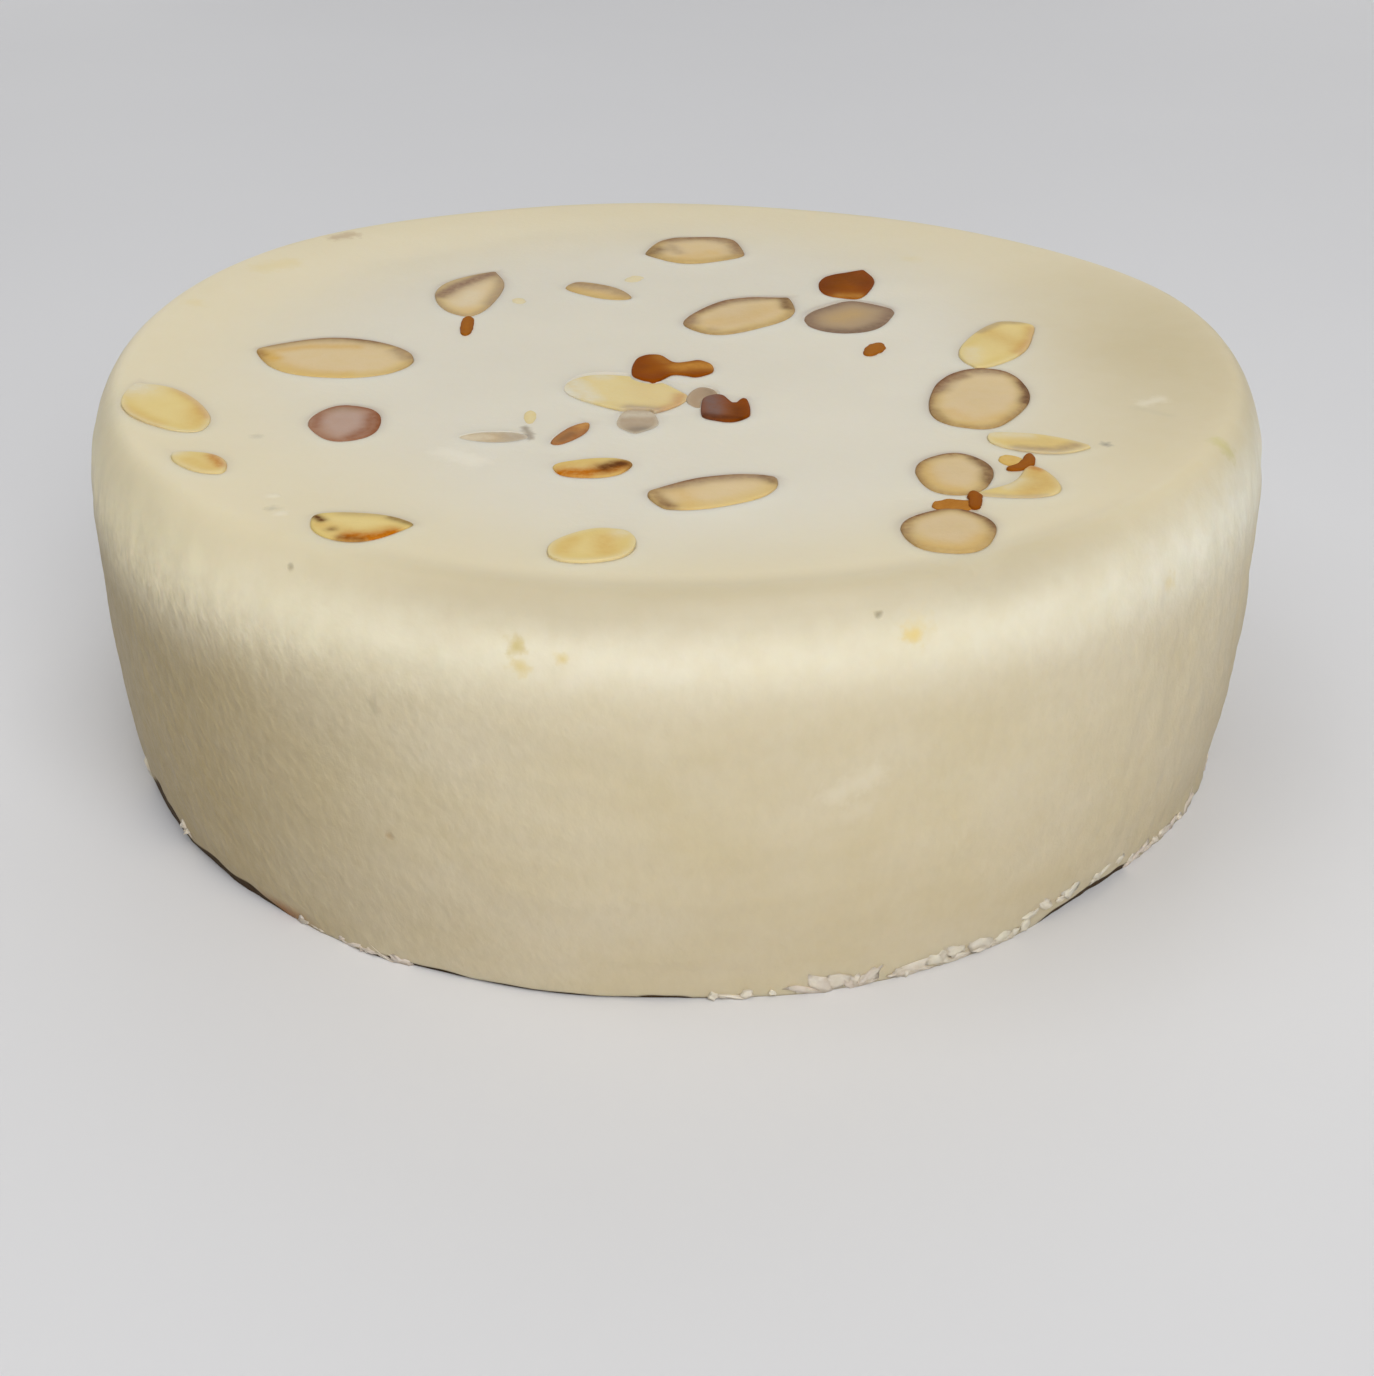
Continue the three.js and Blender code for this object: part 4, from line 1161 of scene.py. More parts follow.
@dataclass(frozen=True)
class CustardZones:
    """Where the custard's colours lie.

    Lobes are stretches round the cake. Most pairs are ramps, from where something begins to where it
    is whole, and those that end in grows say what a lobe adds to another pair. The shoulder's place
    is the middle of its pale belt and half its width, and its share is what there is all round and
    what the flanks add; that belt is partly the custard's paler skin and partly a painted highlight
    where the shoulder faces the lights. The darker ring inside the front rim and the darker right of
    the top are painted shade, and so are the shaded flanks. Rough is for the whole side, for its
    left, and for its right and back; it also sets how strong the painted shade of the side's fine
    ripples is.
    """

    front: Lobe = Lobe(278, 38, power=4)
    left: Lobe = Lobe(210, 34, power=4)
    right: Lobe = Lobe(352, 36)
    dim: Lobe = Lobe(348, 24, 0.7)
    warm: Lobe = Lobe(208, 34)
    back: Lobe = Lobe(90, 80)
    right_flank: Lobe = Lobe(335, 28)
    # Where the painted shade over the right of the top lies.
    tan: Lobe = Lobe(358, 34)
    stain: Lobe = Lobe(232, 3.2)
    side_drop: Pair = (4.0, 14.0)
    low_height: Pair = (0.0, 42.0)
    margin_radius: Pair = (40.0, 82.0)
    margin_grows: Pair = (16.0, 3.0)
    front_rim_shade_radius: Pair = (79.0, 85.0)
    front_rim_shade_end: Pair = (86.0, 88.2)
    right_top_shade_radius: Pair = (38.0, 76.0)
    left_height: Pair = (34.0, 47.0)
    dim_height: Pair = (20.0, 37.0)
    shaded: float = 0.72
    shoulder_radius: Pair = (80.0, 86.0)
    shoulder_place: Pair = (7.5, 4.6)
    shoulder_grows: Pair = (1.3, 1.6)
    shoulder_share: Pair = (0.85, 0.9)
    stain_height: Pair = (0.4, 3.2)
    # Where the undercuts' painted shadow lies.
    shadow_gap_height: Pair = (0.2, 0.5)
    shadow_gap_edge: Pair = (-0.4, 0.2)
    rough: Spot3 = (0.5, 1.9, 0.8)

    def masks(self, radius: Array, azimuth: Array, height: Array, drop: Array) -> dict[str, Array]:
        """Works out the zones' masks.

        Args:
            radius: The points' radii before the plan's waves.
            azimuth: Their azimuths.
            height: Their heights.
            drop: How far they lie below the rim.

        Returns:
            Each mask's values by name.
        """
        front, warm = self.front.at(azimuth), self.warm.at(azimuth)
        left = self.left.at(azimuth) * smoothfall(height, *self.left_height)
        dim = self.dim.at(azimuth) * smoothfall(height, *self.dim_height)
        flank = np.maximum(warm, self.right_flank.at(azimuth))
        # The shoulder's pale belt, partly paler skin and partly a painted highlight, wider and stronger on
        # the flanks.
        middle, width = (at + grows * flank for at, grows in zip(self.shoulder_place, self.shoulder_grows))
        pale = np.exp(-(((drop - middle) / width) ** 2)) * smoothstep(radius, *self.shoulder_radius)
        margin = (at + grows * front for at, grows in zip(self.margin_radius, self.margin_grows))
        # Painted shade in a ring just inside the front rim.
        front_rim_shade = smoothstep(radius, *self.front_rim_shade_radius) * smoothfall(radius, *self.front_rim_shade_end)
        plain, on_left, elsewhere = self.rough
        rough = plain + on_left * warm
        rough += elsewhere * np.maximum(self.right.at(azimuth), self.back.at(azimuth))
        return {
            "side": smoothstep(drop, *self.side_drop),
            "low": smoothfall(height, *self.low_height),
            "margin": smoothstep(radius, *margin),
            "front_rim_shade": front * front_rim_shade,
            "tan": self.tan.at(azimuth) * smoothstep(radius, *self.right_top_shade_radius),
            "shaded": self.shaded * np.maximum(left, dim),
            "warm": warm,
            "rough": rough,
            "shoulder": pale * (self.shoulder_share[0] + self.shoulder_share[1] * flank),
            "stain": self.stain.at(azimuth) * smoothfall(height, *self.stain_height),
        }


@dataclass
class CustardBody:
    """The cake itself: a fine skin over the turned form, with a pocket under each almond piece."""

    form: CakeForm
    almonds: list[Almond]
    finish: CustardFinish
    layout: CustardZones = CustardZones()
    around: int = 760
    join_radius: float = 86.5
    shoulder_rings: int = 20
    side_step: float = 0.8
    foot_rings: int = 20
    top_spacing: float = 1.35
    rim_rings: tuple[float, ...] = (78.0, 79.2, 80.3, 81.3, 82.2, 83.0, 83.8, 84.5, 85.2, 85.9)
    rim_clear: float = 0.6
    lip_rings: tuple[float, ...] = (0.25, 0.6, 1.1, 1.8, 2.8, 4.2)
    ring_slack: float = 0.25
    neighbour_gap: float = 0.2
    pocket_start: float = 0.02
    pocket_inset: float = 0.35
    pocket_depth: float = 1.4
    lip_rise: float = 0.14
    lip_reach: float = 2.4
    lip_power: float = 1.3
    reach: float = 7.0
    top_humps: tuple[Uneven, ...] = (Uneven(0.14, 19, 1), Uneven(0.05, 6.5, 2))
    top_fade: Pair = (80.0, 85.0)
    side_humps: tuple[Uneven, ...] = (Uneven(0.22, 17, 3), Uneven(0.06, 5, 4, (1, 1, 0.9)))
    side_fade: Pair = (2.5, 9.0)
    ridges: tuple[Lobe, ...] = (Lobe(332, 40, 0.19), Lobe(205, 36, 0.1), Lobe(90, 70, 0.1))
    ridge_wander: Uneven = Uneven(0.8, 9, 8)
    ridge_grain: tuple[Uneven, ...] = (
        Uneven(1.0, 2.8, 5, (1, 1, 0.62)),
        Uneven(0.5, 1.9, 6, (1, 1, 0.75)),
    )
    rippled: Lobe = Lobe(265, 45)
    ripples: Uneven = Uneven(0.1, 2.4, 7, (0.14, 0.14, 1))
    undercuts: tuple[Undercut, ...] = (
        Undercut(210.6, 5.2, 0.12, 6.6),
        Undercut(224, 7.0, 0.15, 2.3),
        Undercut(247, 6.0, 0.4, 0.8),
        Undercut(269, 2.5, 0.4, 0.9),
        Undercut(258, 20.0, 0.4, 0.5),
        Undercut(312, 6.5, 0.3, 1.6),
        Undercut(25, 9.0, 0.3, 1.3),
        Undercut(118, 10.0, 0.3, 1.4),
    )
    undercut_edge: Pair = (-0.45, 0.1)
    undercut_ragged: float = 0.25
    undercut_waves: tuple[Pair, ...] = ((23, 0), (41, 30))
    halo_reach: float = 0.9
    halo_behind: Pair = (0.4, 0.6)
    # Where the painted highlight on the lip in front of each piece lies, and how far in front it must be.
    lip_highlight: Pair = (1.0, 1.2)
    lip_highlight_before: float = 0.15
    look_step: float = 0.3
    almond_zone: float = 4.0

    def polar(self, corners: Array) -> tuple[Array, Array]:
        """Gives the radius before the plan's waves, and the azimuth, of some points."""
        azimuth = np.degrees(np.arctan2(corners[:, 1], corners[:, 0])) % 360
        return np.hypot(corners[:, 0], corners[:, 1]) / self.form.wave(azimuth), azimuth

    def ring(self, radius: float, count: int) -> Array:
        """Gives a level ring's places, with the plan's waves, count by 2."""
        azimuth = compass(count)
        return turned(radius * self.form.wave(azimuth), azimuth, np.zeros(count))[:, :2]

    def gaps(self, places: Array) -> Array:
        """Measures the distance of places to each almond piece, pieces by places."""
        return np.array([almond.distance(places, self.reach) for almond in self.almonds])

    def top_places(self) -> tuple[Array, list[Array]]:
        """Chooses the top's points: an even spread, with rings round each almond piece.

        Returns:
            The loose places and the loops, the outermost first.
        """
        limit = np.array([self.join_radius, self.join_radius])
        spread = honeycomb(-limit, limit, self.top_spacing)
        radius, _ = self.polar(spread)
        spread = spread[radius < self.rim_rings[0] - self.top_spacing / 2]
        spread = np.vstack([spread, *(self.ring(radius, self.around // 2) for radius in self.rim_rings)])
        spread = spread[self.gaps(spread).min(axis=0) > self.lip_rings[-2]]
        loose = [spread]
        loops = [self.ring(self.join_radius, self.around)]
        for almond in self.almonds:
            loops.append(almond.loop)
            others = [other for other in self.almonds if other is not almond]
            for out in (-self.pocket_inset, *self.lip_rings):
                ring = grown_loop(almond.loop, out)
                gap = np.array([other.distance(ring, self.reach) for other in others]).min(axis=0)
                own = almond.distance(ring, self.reach)
                radius, _ = self.polar(ring)
                keep = (gap > max(out, self.neighbour_gap)) & (np.abs(own - out) < self.ring_slack)
                keep &= radius < self.join_radius - self.rim_clear
                loose.append(ring[keep][:: 1 if out < 1 else 2])
        return np.vstack(loose), loops

    def lip(self, gap: Array) -> Array:
        """Gives how the custard's skin stands at distances from a piece's edge."""
        swell = self.lip_rise * np.exp(-((np.maximum(gap, 0) / self.lip_reach) ** self.lip_power))
        return swell - self.pocket_depth * smoothstep(-gap, self.pocket_start, self.pocket_inset)

    def skin_height(self, places: Array) -> Array:
        """Gives the top's height at some places, lips left out."""
        flat = np.column_stack([places, np.zeros(len(places))])
        radius, azimuth = self.polar(flat)
        uneven = sum(hump.at(flat) for hump in self.top_humps)
        return self.form.top_height(radius, azimuth) + uneven * smoothfall(radius, *self.top_fade)

    def top_skin(self, places: Array) -> Array:
        """Gives the top's finished height at some places."""
        return self.skin_height(places) + self.lip(self.gaps(places).min(axis=0))

    def side_rings(self) -> tuple[Array, Array]:
        """Gives the side's rings from the top's border down to the foot, as radii and heights."""
        form = self.form
        start = math.acos((self.join_radius - form.crest_radius) / form.shoulder_run)
        turn = np.linspace(start, 0, self.shoulder_rings, endpoint=False)
        radii = [form.crest_radius + form.shoulder_run * np.cos(turn)]
        heights = [form.height - form.shoulder_drop * (1 - np.sin(turn))]
        wall = np.arange(form.height - form.shoulder_drop, form.foot_band, -self.side_step)
        foot = form.foot_band * (1 - np.linspace(0, 1, self.foot_rings))
        for levels in (wall, foot):
            heights.append(levels)
            radii.append(form.side_radius(levels))
        return np.concatenate(radii), np.concatenate(heights)

    def cut(self, azimuth: Array) -> tuple[Array, Array]:
        """Gives how deep and how high the foot is undercut at some azimuths."""
        waves = [np.sin(np.radians(azimuth * turns + phase)) for turns, phase in self.undercut_waves]
        ragged = 1 + self.undercut_ragged * np.prod(waves, axis=0)
        depth = np.max([cut.depth * cut.share(azimuth) for cut in self.undercuts], axis=0)
        height = np.max([cut.height * cut.share(azimuth) for cut in self.undercuts], axis=0)
        return depth, height * ragged

    def side_relief(self, base: Array, azimuth: Array) -> Array:
        """Gives how far the side's skin stands out from the turned form.

        Args:
            base: The side's points on the turned form.
            azimuth: Their azimuths.

        Returns:
            The relief, one for each point.
        """
        uneven = sum(hump.at(base) for hump in self.side_humps)
        ridge = sum(lobe.at(azimuth) for lobe in self.ridges)
        waved = base + self.ridge_wander.at(base)[:, None]
        uneven += ridge * sum(grain.at(waved) for grain in self.ridge_grain)
        return uneven + self.rippled.at(azimuth) * self.ripples.at(base)

    def side_skin(self) -> Array:
        """Makes the side's points.

        Returns:
            The points, ring by ring, the first ring being the top's border.
        """
        form = self.form
        radii, heights = self.side_rings()
        azimuth, level = np.meshgrid(compass(self.around), heights)
        out = np.repeat(radii[:, None], self.around, axis=1)
        share = np.clip((level - form.height + form.shoulder_drop) / form.shoulder_drop, 0, 1)
        uneven = self.side_relief(turned(out, azimuth, level), azimuth.ravel()).reshape(out.shape)
        hold = smoothstep(form.height - level, *self.side_fade)
        depth, height = self.cut(azimuth)
        under = depth * smoothfall(level - height, *self.undercut_edge)
        grown = out * form.wave(azimuth) - form.draw_in(azimuth, level) + uneven * hold - under
        return turned(grown, azimuth, level + form.rise(azimuth) * share)

    def almond_masks(self, places: Array) -> tuple[Array, Array]:
        """Works out the painted shade behind each almond piece and the painted highlight on its lip.

        Args:
            places: Places on the top.

        Returns:
            The painted shade's mask and the painted highlight's.
        """
        step = np.array([0.0, self.look_step])
        gaps = self.gaps(places)
        nearest = gaps.min(axis=0)
        ahead, before = (self.gaps(places + way * step).min(axis=0) for way in (1, -1))
        behind = (ahead - before) / (2 * self.look_step)
        # Painted shade round each piece, stronger on its far side.
        weight = np.array([PIECE_LOOKS[almond.name].halo for almond in self.almonds])[:, None]
        halo = (weight * np.exp(-((np.maximum(gaps, 0) / self.halo_reach) ** 2))).max(axis=0)
        # The painted highlight: on the near side of each piece, a little outside its edge.
        middle, width = self.lip_highlight
        lip = np.exp(-(((nearest - middle) / width) ** 2)) * np.clip(self.lip_highlight_before - behind, 0, 1)
        level, more = self.halo_behind
        return halo * np.clip(level + more * behind, 0, 1), lip * (nearest > 0)

    def zones(self, corners: Array) -> dict[str, Array]:
        """Works out the masks that the custard's material reads.

        Args:
            corners: The body's points.

        Returns:
            Each mask's values by name.
        """
        form, layout = self.form, self.layout
        radius, azimuth = self.polar(corners)
        height = corners[:, 2]
        masks = layout.masks(radius, azimuth, height, form.height + form.rise(azimuth) - height)
        # Painted shade round the almond pieces and a painted highlight in front of them, near the top
        # only.
        halo, lip = np.zeros(len(corners)), np.zeros(len(corners))
        upper = height > form.height - self.almond_zone
        halo[upper], lip[upper] = self.almond_masks(corners[upper][:, :2])
        # The undercuts are painted near-black up to their height: painted shadow under the lifted foot.
        _, cut = self.cut(azimuth)
        gap = smoothstep(cut, *layout.shadow_gap_height) * smoothfall(height - cut, *layout.shadow_gap_edge)
        return masks | {"halo": halo, "lip": lip, "gap": gap}

    def build(self) -> bpy.types.Object:
        """Makes the body's closed mesh.

        Returns:
            The object.
        """
        places, loops = self.top_places()
        joined, triangles, border = triangulate(places, loops)
        top = np.column_stack([joined, self.top_skin(joined)])
        side = self.side_skin()
        count = self.around
        rings = len(side) // count
        top[border] = side[:count]
        below = side[count:]
        number = np.empty((rings, count), dtype=int)
        number[0] = border
        number[1:] = len(top) + np.arange(len(below)).reshape(rings - 1, count)
        corners = np.vstack([top, below, [[0.0, 0.0, 0.0]]])
        after = np.roll(number, -1, axis=1)
        quads = np.stack([number[:-1], number[1:], after[1:], after[:-1]], axis=-1)
        faces = list(triangles) + quads.reshape(-1, 4).tolist()
        hub = len(corners) - 1
        faces += [[hub, int(b), int(a)] for a, b in zip(number[-1], after[-1])]
        return new_object("custard_body", corners, faces, self.zones(corners), self.finish.material())


@dataclass(frozen=True)
class AlmondFinish:
    """The colours and surface of one kind of almond piece."""

    look: Look
    flesh: Tone
    light: Tone
    skin: Tone
    dark: Tone = tone(74, 46, 22)
    gold: Tone = tone(214, 172, 92)
    mauve: Tone = tone(166, 140, 112)
    film: Tone = tone(226, 219, 199)
    core_share: float = 0.75
    blotch_share: float = 0.35
    ink_edge: Pair = (0.7, 0.6)
    bump: Pair = (0.3, 0.0002)
    roughness: float = 0.55
    blotch_roughness: float = 0.12
    shine: float = 0.04
    glow: float = 0.1
    glow_reach: Spot3 = (0.002, 0.0012, 0.0006)

    @cache
    def material(self) -> bpy.types.Material:
        """Makes the material once.

        Returns:
            The material, which reads the piece's masks.
        """
        paint = Paint(self.look.value + "_finish")
        blotch = paint.blotches(scale=330.0, contrast=2.2)
        core = paint.times(paint.mask("core"), self.core_share)
        pale = paint.plus(core, paint.times(blotch, self.blotch_share), clamp=True)
        colour = paint.mix(pale, self.flesh, self.light)
        uneven = paint.line(*self.ink_edge, paint.blotches(scale=1100.0, contrast=1.6))
        for ink in Ink:
            share = paint.times(paint.mask(ink.value), uneven, clamp=True)
            colour = paint.mix(share, colour, getattr(self, ink.value))
        paint.coat(colour, paint.line(self.roughness, self.blotch_roughness, blotch))
        paint.bump(paint.grain(scale=1300.0), *self.bump)
        paint.glow(self.glow, self.glow_reach)
        paint.shader.inputs["Specular IOR Level"].default_value = self.shine
        return paint.material


FINISHES: dict[Look, AlmondFinish] = {
    finish.look: finish
    for finish in (
        AlmondFinish(
            Look.FLESH, tone(216, 187, 122), tone(221, 197, 154), tone(128, 88, 60), tone(98, 62, 40)
        ),
        AlmondFinish(
            Look.YELLOW, tone(223, 197, 123), tone(229, 206, 140), tone(188, 108, 4), tone(98, 56, 18)
        ),
        AlmondFinish(
            Look.SKIN,
            tone(134, 64, 0),
            tone(148, 78, 0),
            tone(118, 54, 0),
            tone(82, 38, 4),
            gold=tone(198, 138, 56),
            mauve=tone(126, 98, 88),
            glow=0.0,
        ),
        AlmondFinish(Look.ROSY, tone(176, 138, 112), tone(186, 158, 142), tone(142, 88, 56)),
        AlmondFinish(
            Look.SUNK, tone(172, 148, 118), tone(176, 152, 121), tone(136, 110, 90), tone(104, 86, 70)
        ),
    )
}


@dataclass
class Slab:
    """A thin slab with a rounded upper edge, filled out from an outline."""

    loop: Array
    spacing: float = 0.42
    thick: float = 1.15
    edge: float = 0.34
    crown: float = 0.1
    crown_reach: float = 1.5
    uneven: Uneven = Uneven(0.03, 2.6, 11)
    rim_steps: tuple[float, ...] = (0.07, 0.18, 0.36, 0.62)
    ring_slack: float = 0.03

    def fill(self) -> tuple[Array, list, list[int]]:
        """Fills the outline with triangles.

        Returns:
            The places, the triangles and the numbers of the outline's points.
        """
        inner = honeycomb(self.loop.min(axis=0), self.loop.max(axis=0), self.spacing)
        inner = inner[loop_distance(inner, self.loop) < -self.rim_steps[-1] - self.spacing / 2]
        rings = []
        for step in self.rim_steps:
            ring = grown_loop(self.loop, -step)
            rings.append(ring[np.abs(loop_distance(ring, self.loop) + step) < self.ring_slack])
        return triangulate(np.vstack([inner, *rings]), [self.loop])

    def mesh(self, level: Callable[[Array], Array]) -> tuple[Array, list, Array]:
        """Makes the slab's closed mesh.

        Args:
            level: Gives the height of the upper face at some places.

        Returns:
            The points, the faces and how far each point is inside the outline.
        """
        places, triangles, border = self.fill()
        depth = np.maximum(-loop_distance(places, self.loop), 0)
        depth[border] = 0
        flat = np.column_stack([places, np.zeros(len(places))])
        fall = self.edge * (1 - np.sqrt(np.clip(1 - np.clip(1 - depth / self.edge, 0, 1) ** 2, 0, 1)))
        swell = self.crown * (1 - np.exp(-depth / self.crown_reach)) + self.uneven.at(flat)
        foot = np.column_stack([places[border], level(places[border]) - self.thick])
        corners = np.vstack([np.column_stack([places, level(places) + swell - fall]), foot])
        under, count = len(places), len(border)
        faces = list(triangles)
        for nth in range(count):
            after = (nth + 1) % count
            faces.append([border[after], border[nth], under + nth, under + after])
        faces.append([under + nth for nth in range(count)][::-1])
        return corners, faces, np.concatenate([depth, np.zeros(count)])


@dataclass
class AlmondPiece:
    """One almond piece, lying in its pocket."""

    almond: Almond
    dress: PieceLook
    sink: float = 0.05
    core: Pair = (0.4, 3.2)
    rim_lean: float = 0.55
    rim_grows: Pair = (0.75, 0.5)
    veil_width: float = 0.75
    flush_veil: float = 0.25
    flush_edge: float = 0.08

    def inks(self, places: Array, depth: Array) -> dict[str, Array]:
        """Works out where the piece's marks show.

        Args:
            places: The slab's places.
            depth: How far each is inside the outline.

        Returns:
            Each mask by name.
        """
        dress = self.dress
        away = places - self.almond.middle
        away = away / np.maximum(np.hypot(*away.T), TINY)[:, None]
        lean = away @ np.array(dress.towards) - math.hypot(*dress.towards) * self.rim_lean
        strength = np.clip(dress.rim * (1 + lean), 0, 1)
        wide = dress.rim_width * (self.rim_grows[0] + self.rim_grows[1] * strength)
        veil = dress.veil * np.exp(-((depth / self.veil_width) ** 2))
        masks = no_inks(len(places))
        masks[Ink.SKIN.value] = strength * np.exp(-((depth / wide) ** 2))
        masks[Ink.FILM.value] = np.maximum(dress.film, veil)
        for mark in dress.marks:
            gap = path_distance(places, mark.path)
            patch = mark.share * np.exp(-((gap / mark.radius) ** 2))
            masks[mark.ink.value] = np.maximum(masks[mark.ink.value], patch)
        masks["core"] = smoothstep(depth, *self.core)
        return masks

    def build(self) -> bpy.types.Object:
        """Makes the piece's closed mesh.

        Returns:
            The object.
        """
        slab = Slab(self.almond.loop)
        if self.dress.veil > self.flush_veil:
            slab = Slab(self.almond.loop, edge=self.flush_edge, crown=0.0)
        corners, faces, depth = slab.mesh(lambda places: self.almond.level(places) - self.sink)
        masks = self.inks(corners[:, :2], depth)
        finish = FINISHES[self.dress.look].material()
        return new_object(self.almond.name + "_almond", corners, faces, masks, finish)


@dataclass(frozen=True)
class Flake:
    """A scrap that sticks to the top, along a path."""

    path: tuple[Place, ...]
    width: float
    proud: float = 0.35
    gold: float = 0.0
    film: float = 0.0
    stops: int = 25
    smoothings: int = 3
    blunt: int = 3
    ragged: Uneven = Uneven(0.22, 1.3, 21)
    ragged_run: float = 9.0
    point_step: float = 0.35
    fewest_points: int = 36

    def loop(self) -> Array:
        """Gives the scrap's outline.

        Returns:
            The outline's points, anticlockwise.
        """
        ends = np.array(self.path, dtype=float)
        run = np.concatenate([[0], np.cumsum(np.hypot(*np.diff(ends, axis=0).T))])
        share = (1 - np.cos(np.linspace(0, math.pi, self.stops))) / 2
        line = np.column_stack([np.interp(share * run[-1], run, ends[:, axis]) for axis in (0, 1)])
        for _ in range(self.smoothings):
            line[1:-1] = (line[:-2] + 2 * line[1:-1] + line[2:]) / 4
        along = np.gradient(line, axis=0)
        along /= np.hypot(*along.T)[:, None]
        across = np.column_stack([-along[:, 1], along[:, 0]])
        taper = np.sqrt(np.clip(1 - np.abs(2 * share - 1) ** self.blunt, 0, 1))
        ragged = 1 + self.ragged.at(np.column_stack([line, share * self.ragged_run]))
        half = (self.width / 2 * taper * ragged)[:, None]
        sides = np.vstack([(line - across * half)[:-1], (line + across * half)[:0:-1]])
        return even_loop(sides, max(self.fewest_points, int(2 * run[-1] / self.point_step)))


@dataclass
class Flakes:
    """Scraps of one kind, joined into one piece."""

    name: str
    flakes: tuple[Flake, ...]
    finish: AlmondFinish
    body: CustardBody
    spacing: float = 0.3
    thick: float = 0.9
    edge: float = 0.22
    rim_steps: tuple[float, ...] = (0.05, 0.14, 0.3)
    core: Pair = (0.2, 1.0)

    def build(self) -> bpy.types.Object:
        """Makes the scraps' mesh.

        Returns:
            The object.
        """
        corners, faces, depths, golds, films = [], [], [], [], []
        start = 0
        for flake in self.flakes:
            slab = Slab(flake.loop(), self.spacing, self.thick, self.edge, rim_steps=self.rim_steps)
            points, sides, depth = slab.mesh(lambda places: self.body.skin_height(places) + flake.proud)
            corners.append(points)
            depths.append(depth)
            golds.append(np.full(len(points), flake.gold))
            films.append(np.full(len(points), flake.film))
            faces += [[start + corner for corner in side] for side in sides]
            start += len(points)
        masks = no_inks(start)
        masks[Ink.GOLD.value] = np.concatenate(golds)
        masks[Ink.FILM.value] = np.concatenate(films)
        masks["core"] = smoothstep(np.concatenate(depths), *self.core)
        return new_object(self.name, np.vstack(corners), faces, masks, self.finish.material())


SKIN_FLAKES = (
    Flake(((-33.2, 15.4), (-33.1, 11.0), (-33.0, 6.8)), 2.0, gold=0.25),
    Flake(((29.0, -2.6), (30.4, 0.2), (31.6, 2.8)), 2.6, gold=0.3),
    Flake(((43.4, -47.4), (45.2, -47.0), (46.8, -45.0), (47.3, -42.2)), 1.8, 0.5, 0.15),
    Flake(((32.2, -59.6), (35.0, -59.2), (37.6, -59.9)), 3.8, 0.3, 0.6),
    Flake(((37.3, -61.0), (38.0, -57.6), (37.9, -55.2)), 1.8, 0.55, 0.1),
)
PALE_FLAKES = (
    Flake(((-26.2, 25.5), (-25.4, 22.0)), 2.2, 0.05, film=0.5),
    Flake(((-8.2, 34.2), (-6.2, 37.8)), 3.0, 0.05, film=0.5),
    Flake(((-20.6, -25.6), (-20.4, -31.0)), 1.8, 0.05, film=0.3),
    Flake(((43.4, -45.4), (46.0, -43.4)), 3.8, 0.25, 0.8),
)


@dataclass(frozen=True)
class ScrapRun:
    """A stretch of the foot with torn scraps along it."""

    first: float
    last: float
    count: int
    length: float
    height: float
    pink: float
    lifted: float = 0.3
    proud: float = 1.0


@dataclass(frozen=True)
class ScrapFinish:
    """The torn custard's colours and surface."""

    cream: Tone = tone(235, 224, 198)
    pink: Tone = tone(231, 212, 194)
    dark: Tone = tone(200, 182, 150)
    dark_share: float = 0.3
    bump: Pair = (0.5, 0.0003)
    roughness: Pair = (0.6, 0.2)
    glow: float = 0.3
    glow_reach: Spot3 = (0.004, 0.003, 0.002)

    def material(self) -> bpy.types.Material:
        """Makes the torn custard's material.

        Returns:
            The material, which reads the scraps' masks.
        """
        paint = Paint("torn_custard_finish")
        blotch = paint.blotches(scale=500.0, contrast=3.0)
        colour = paint.mix(paint.mask("pink"), self.cream, self.pink)
        colour = paint.mix(paint.times(blotch, self.dark_share), colour, self.dark)
        paint.coat(colour, paint.line(*self.roughness, blotch))
        paint.bump(paint.grain(scale=1100.0), *self.bump)
        paint.glow(self.glow, self.glow_reach)
        return paint.material


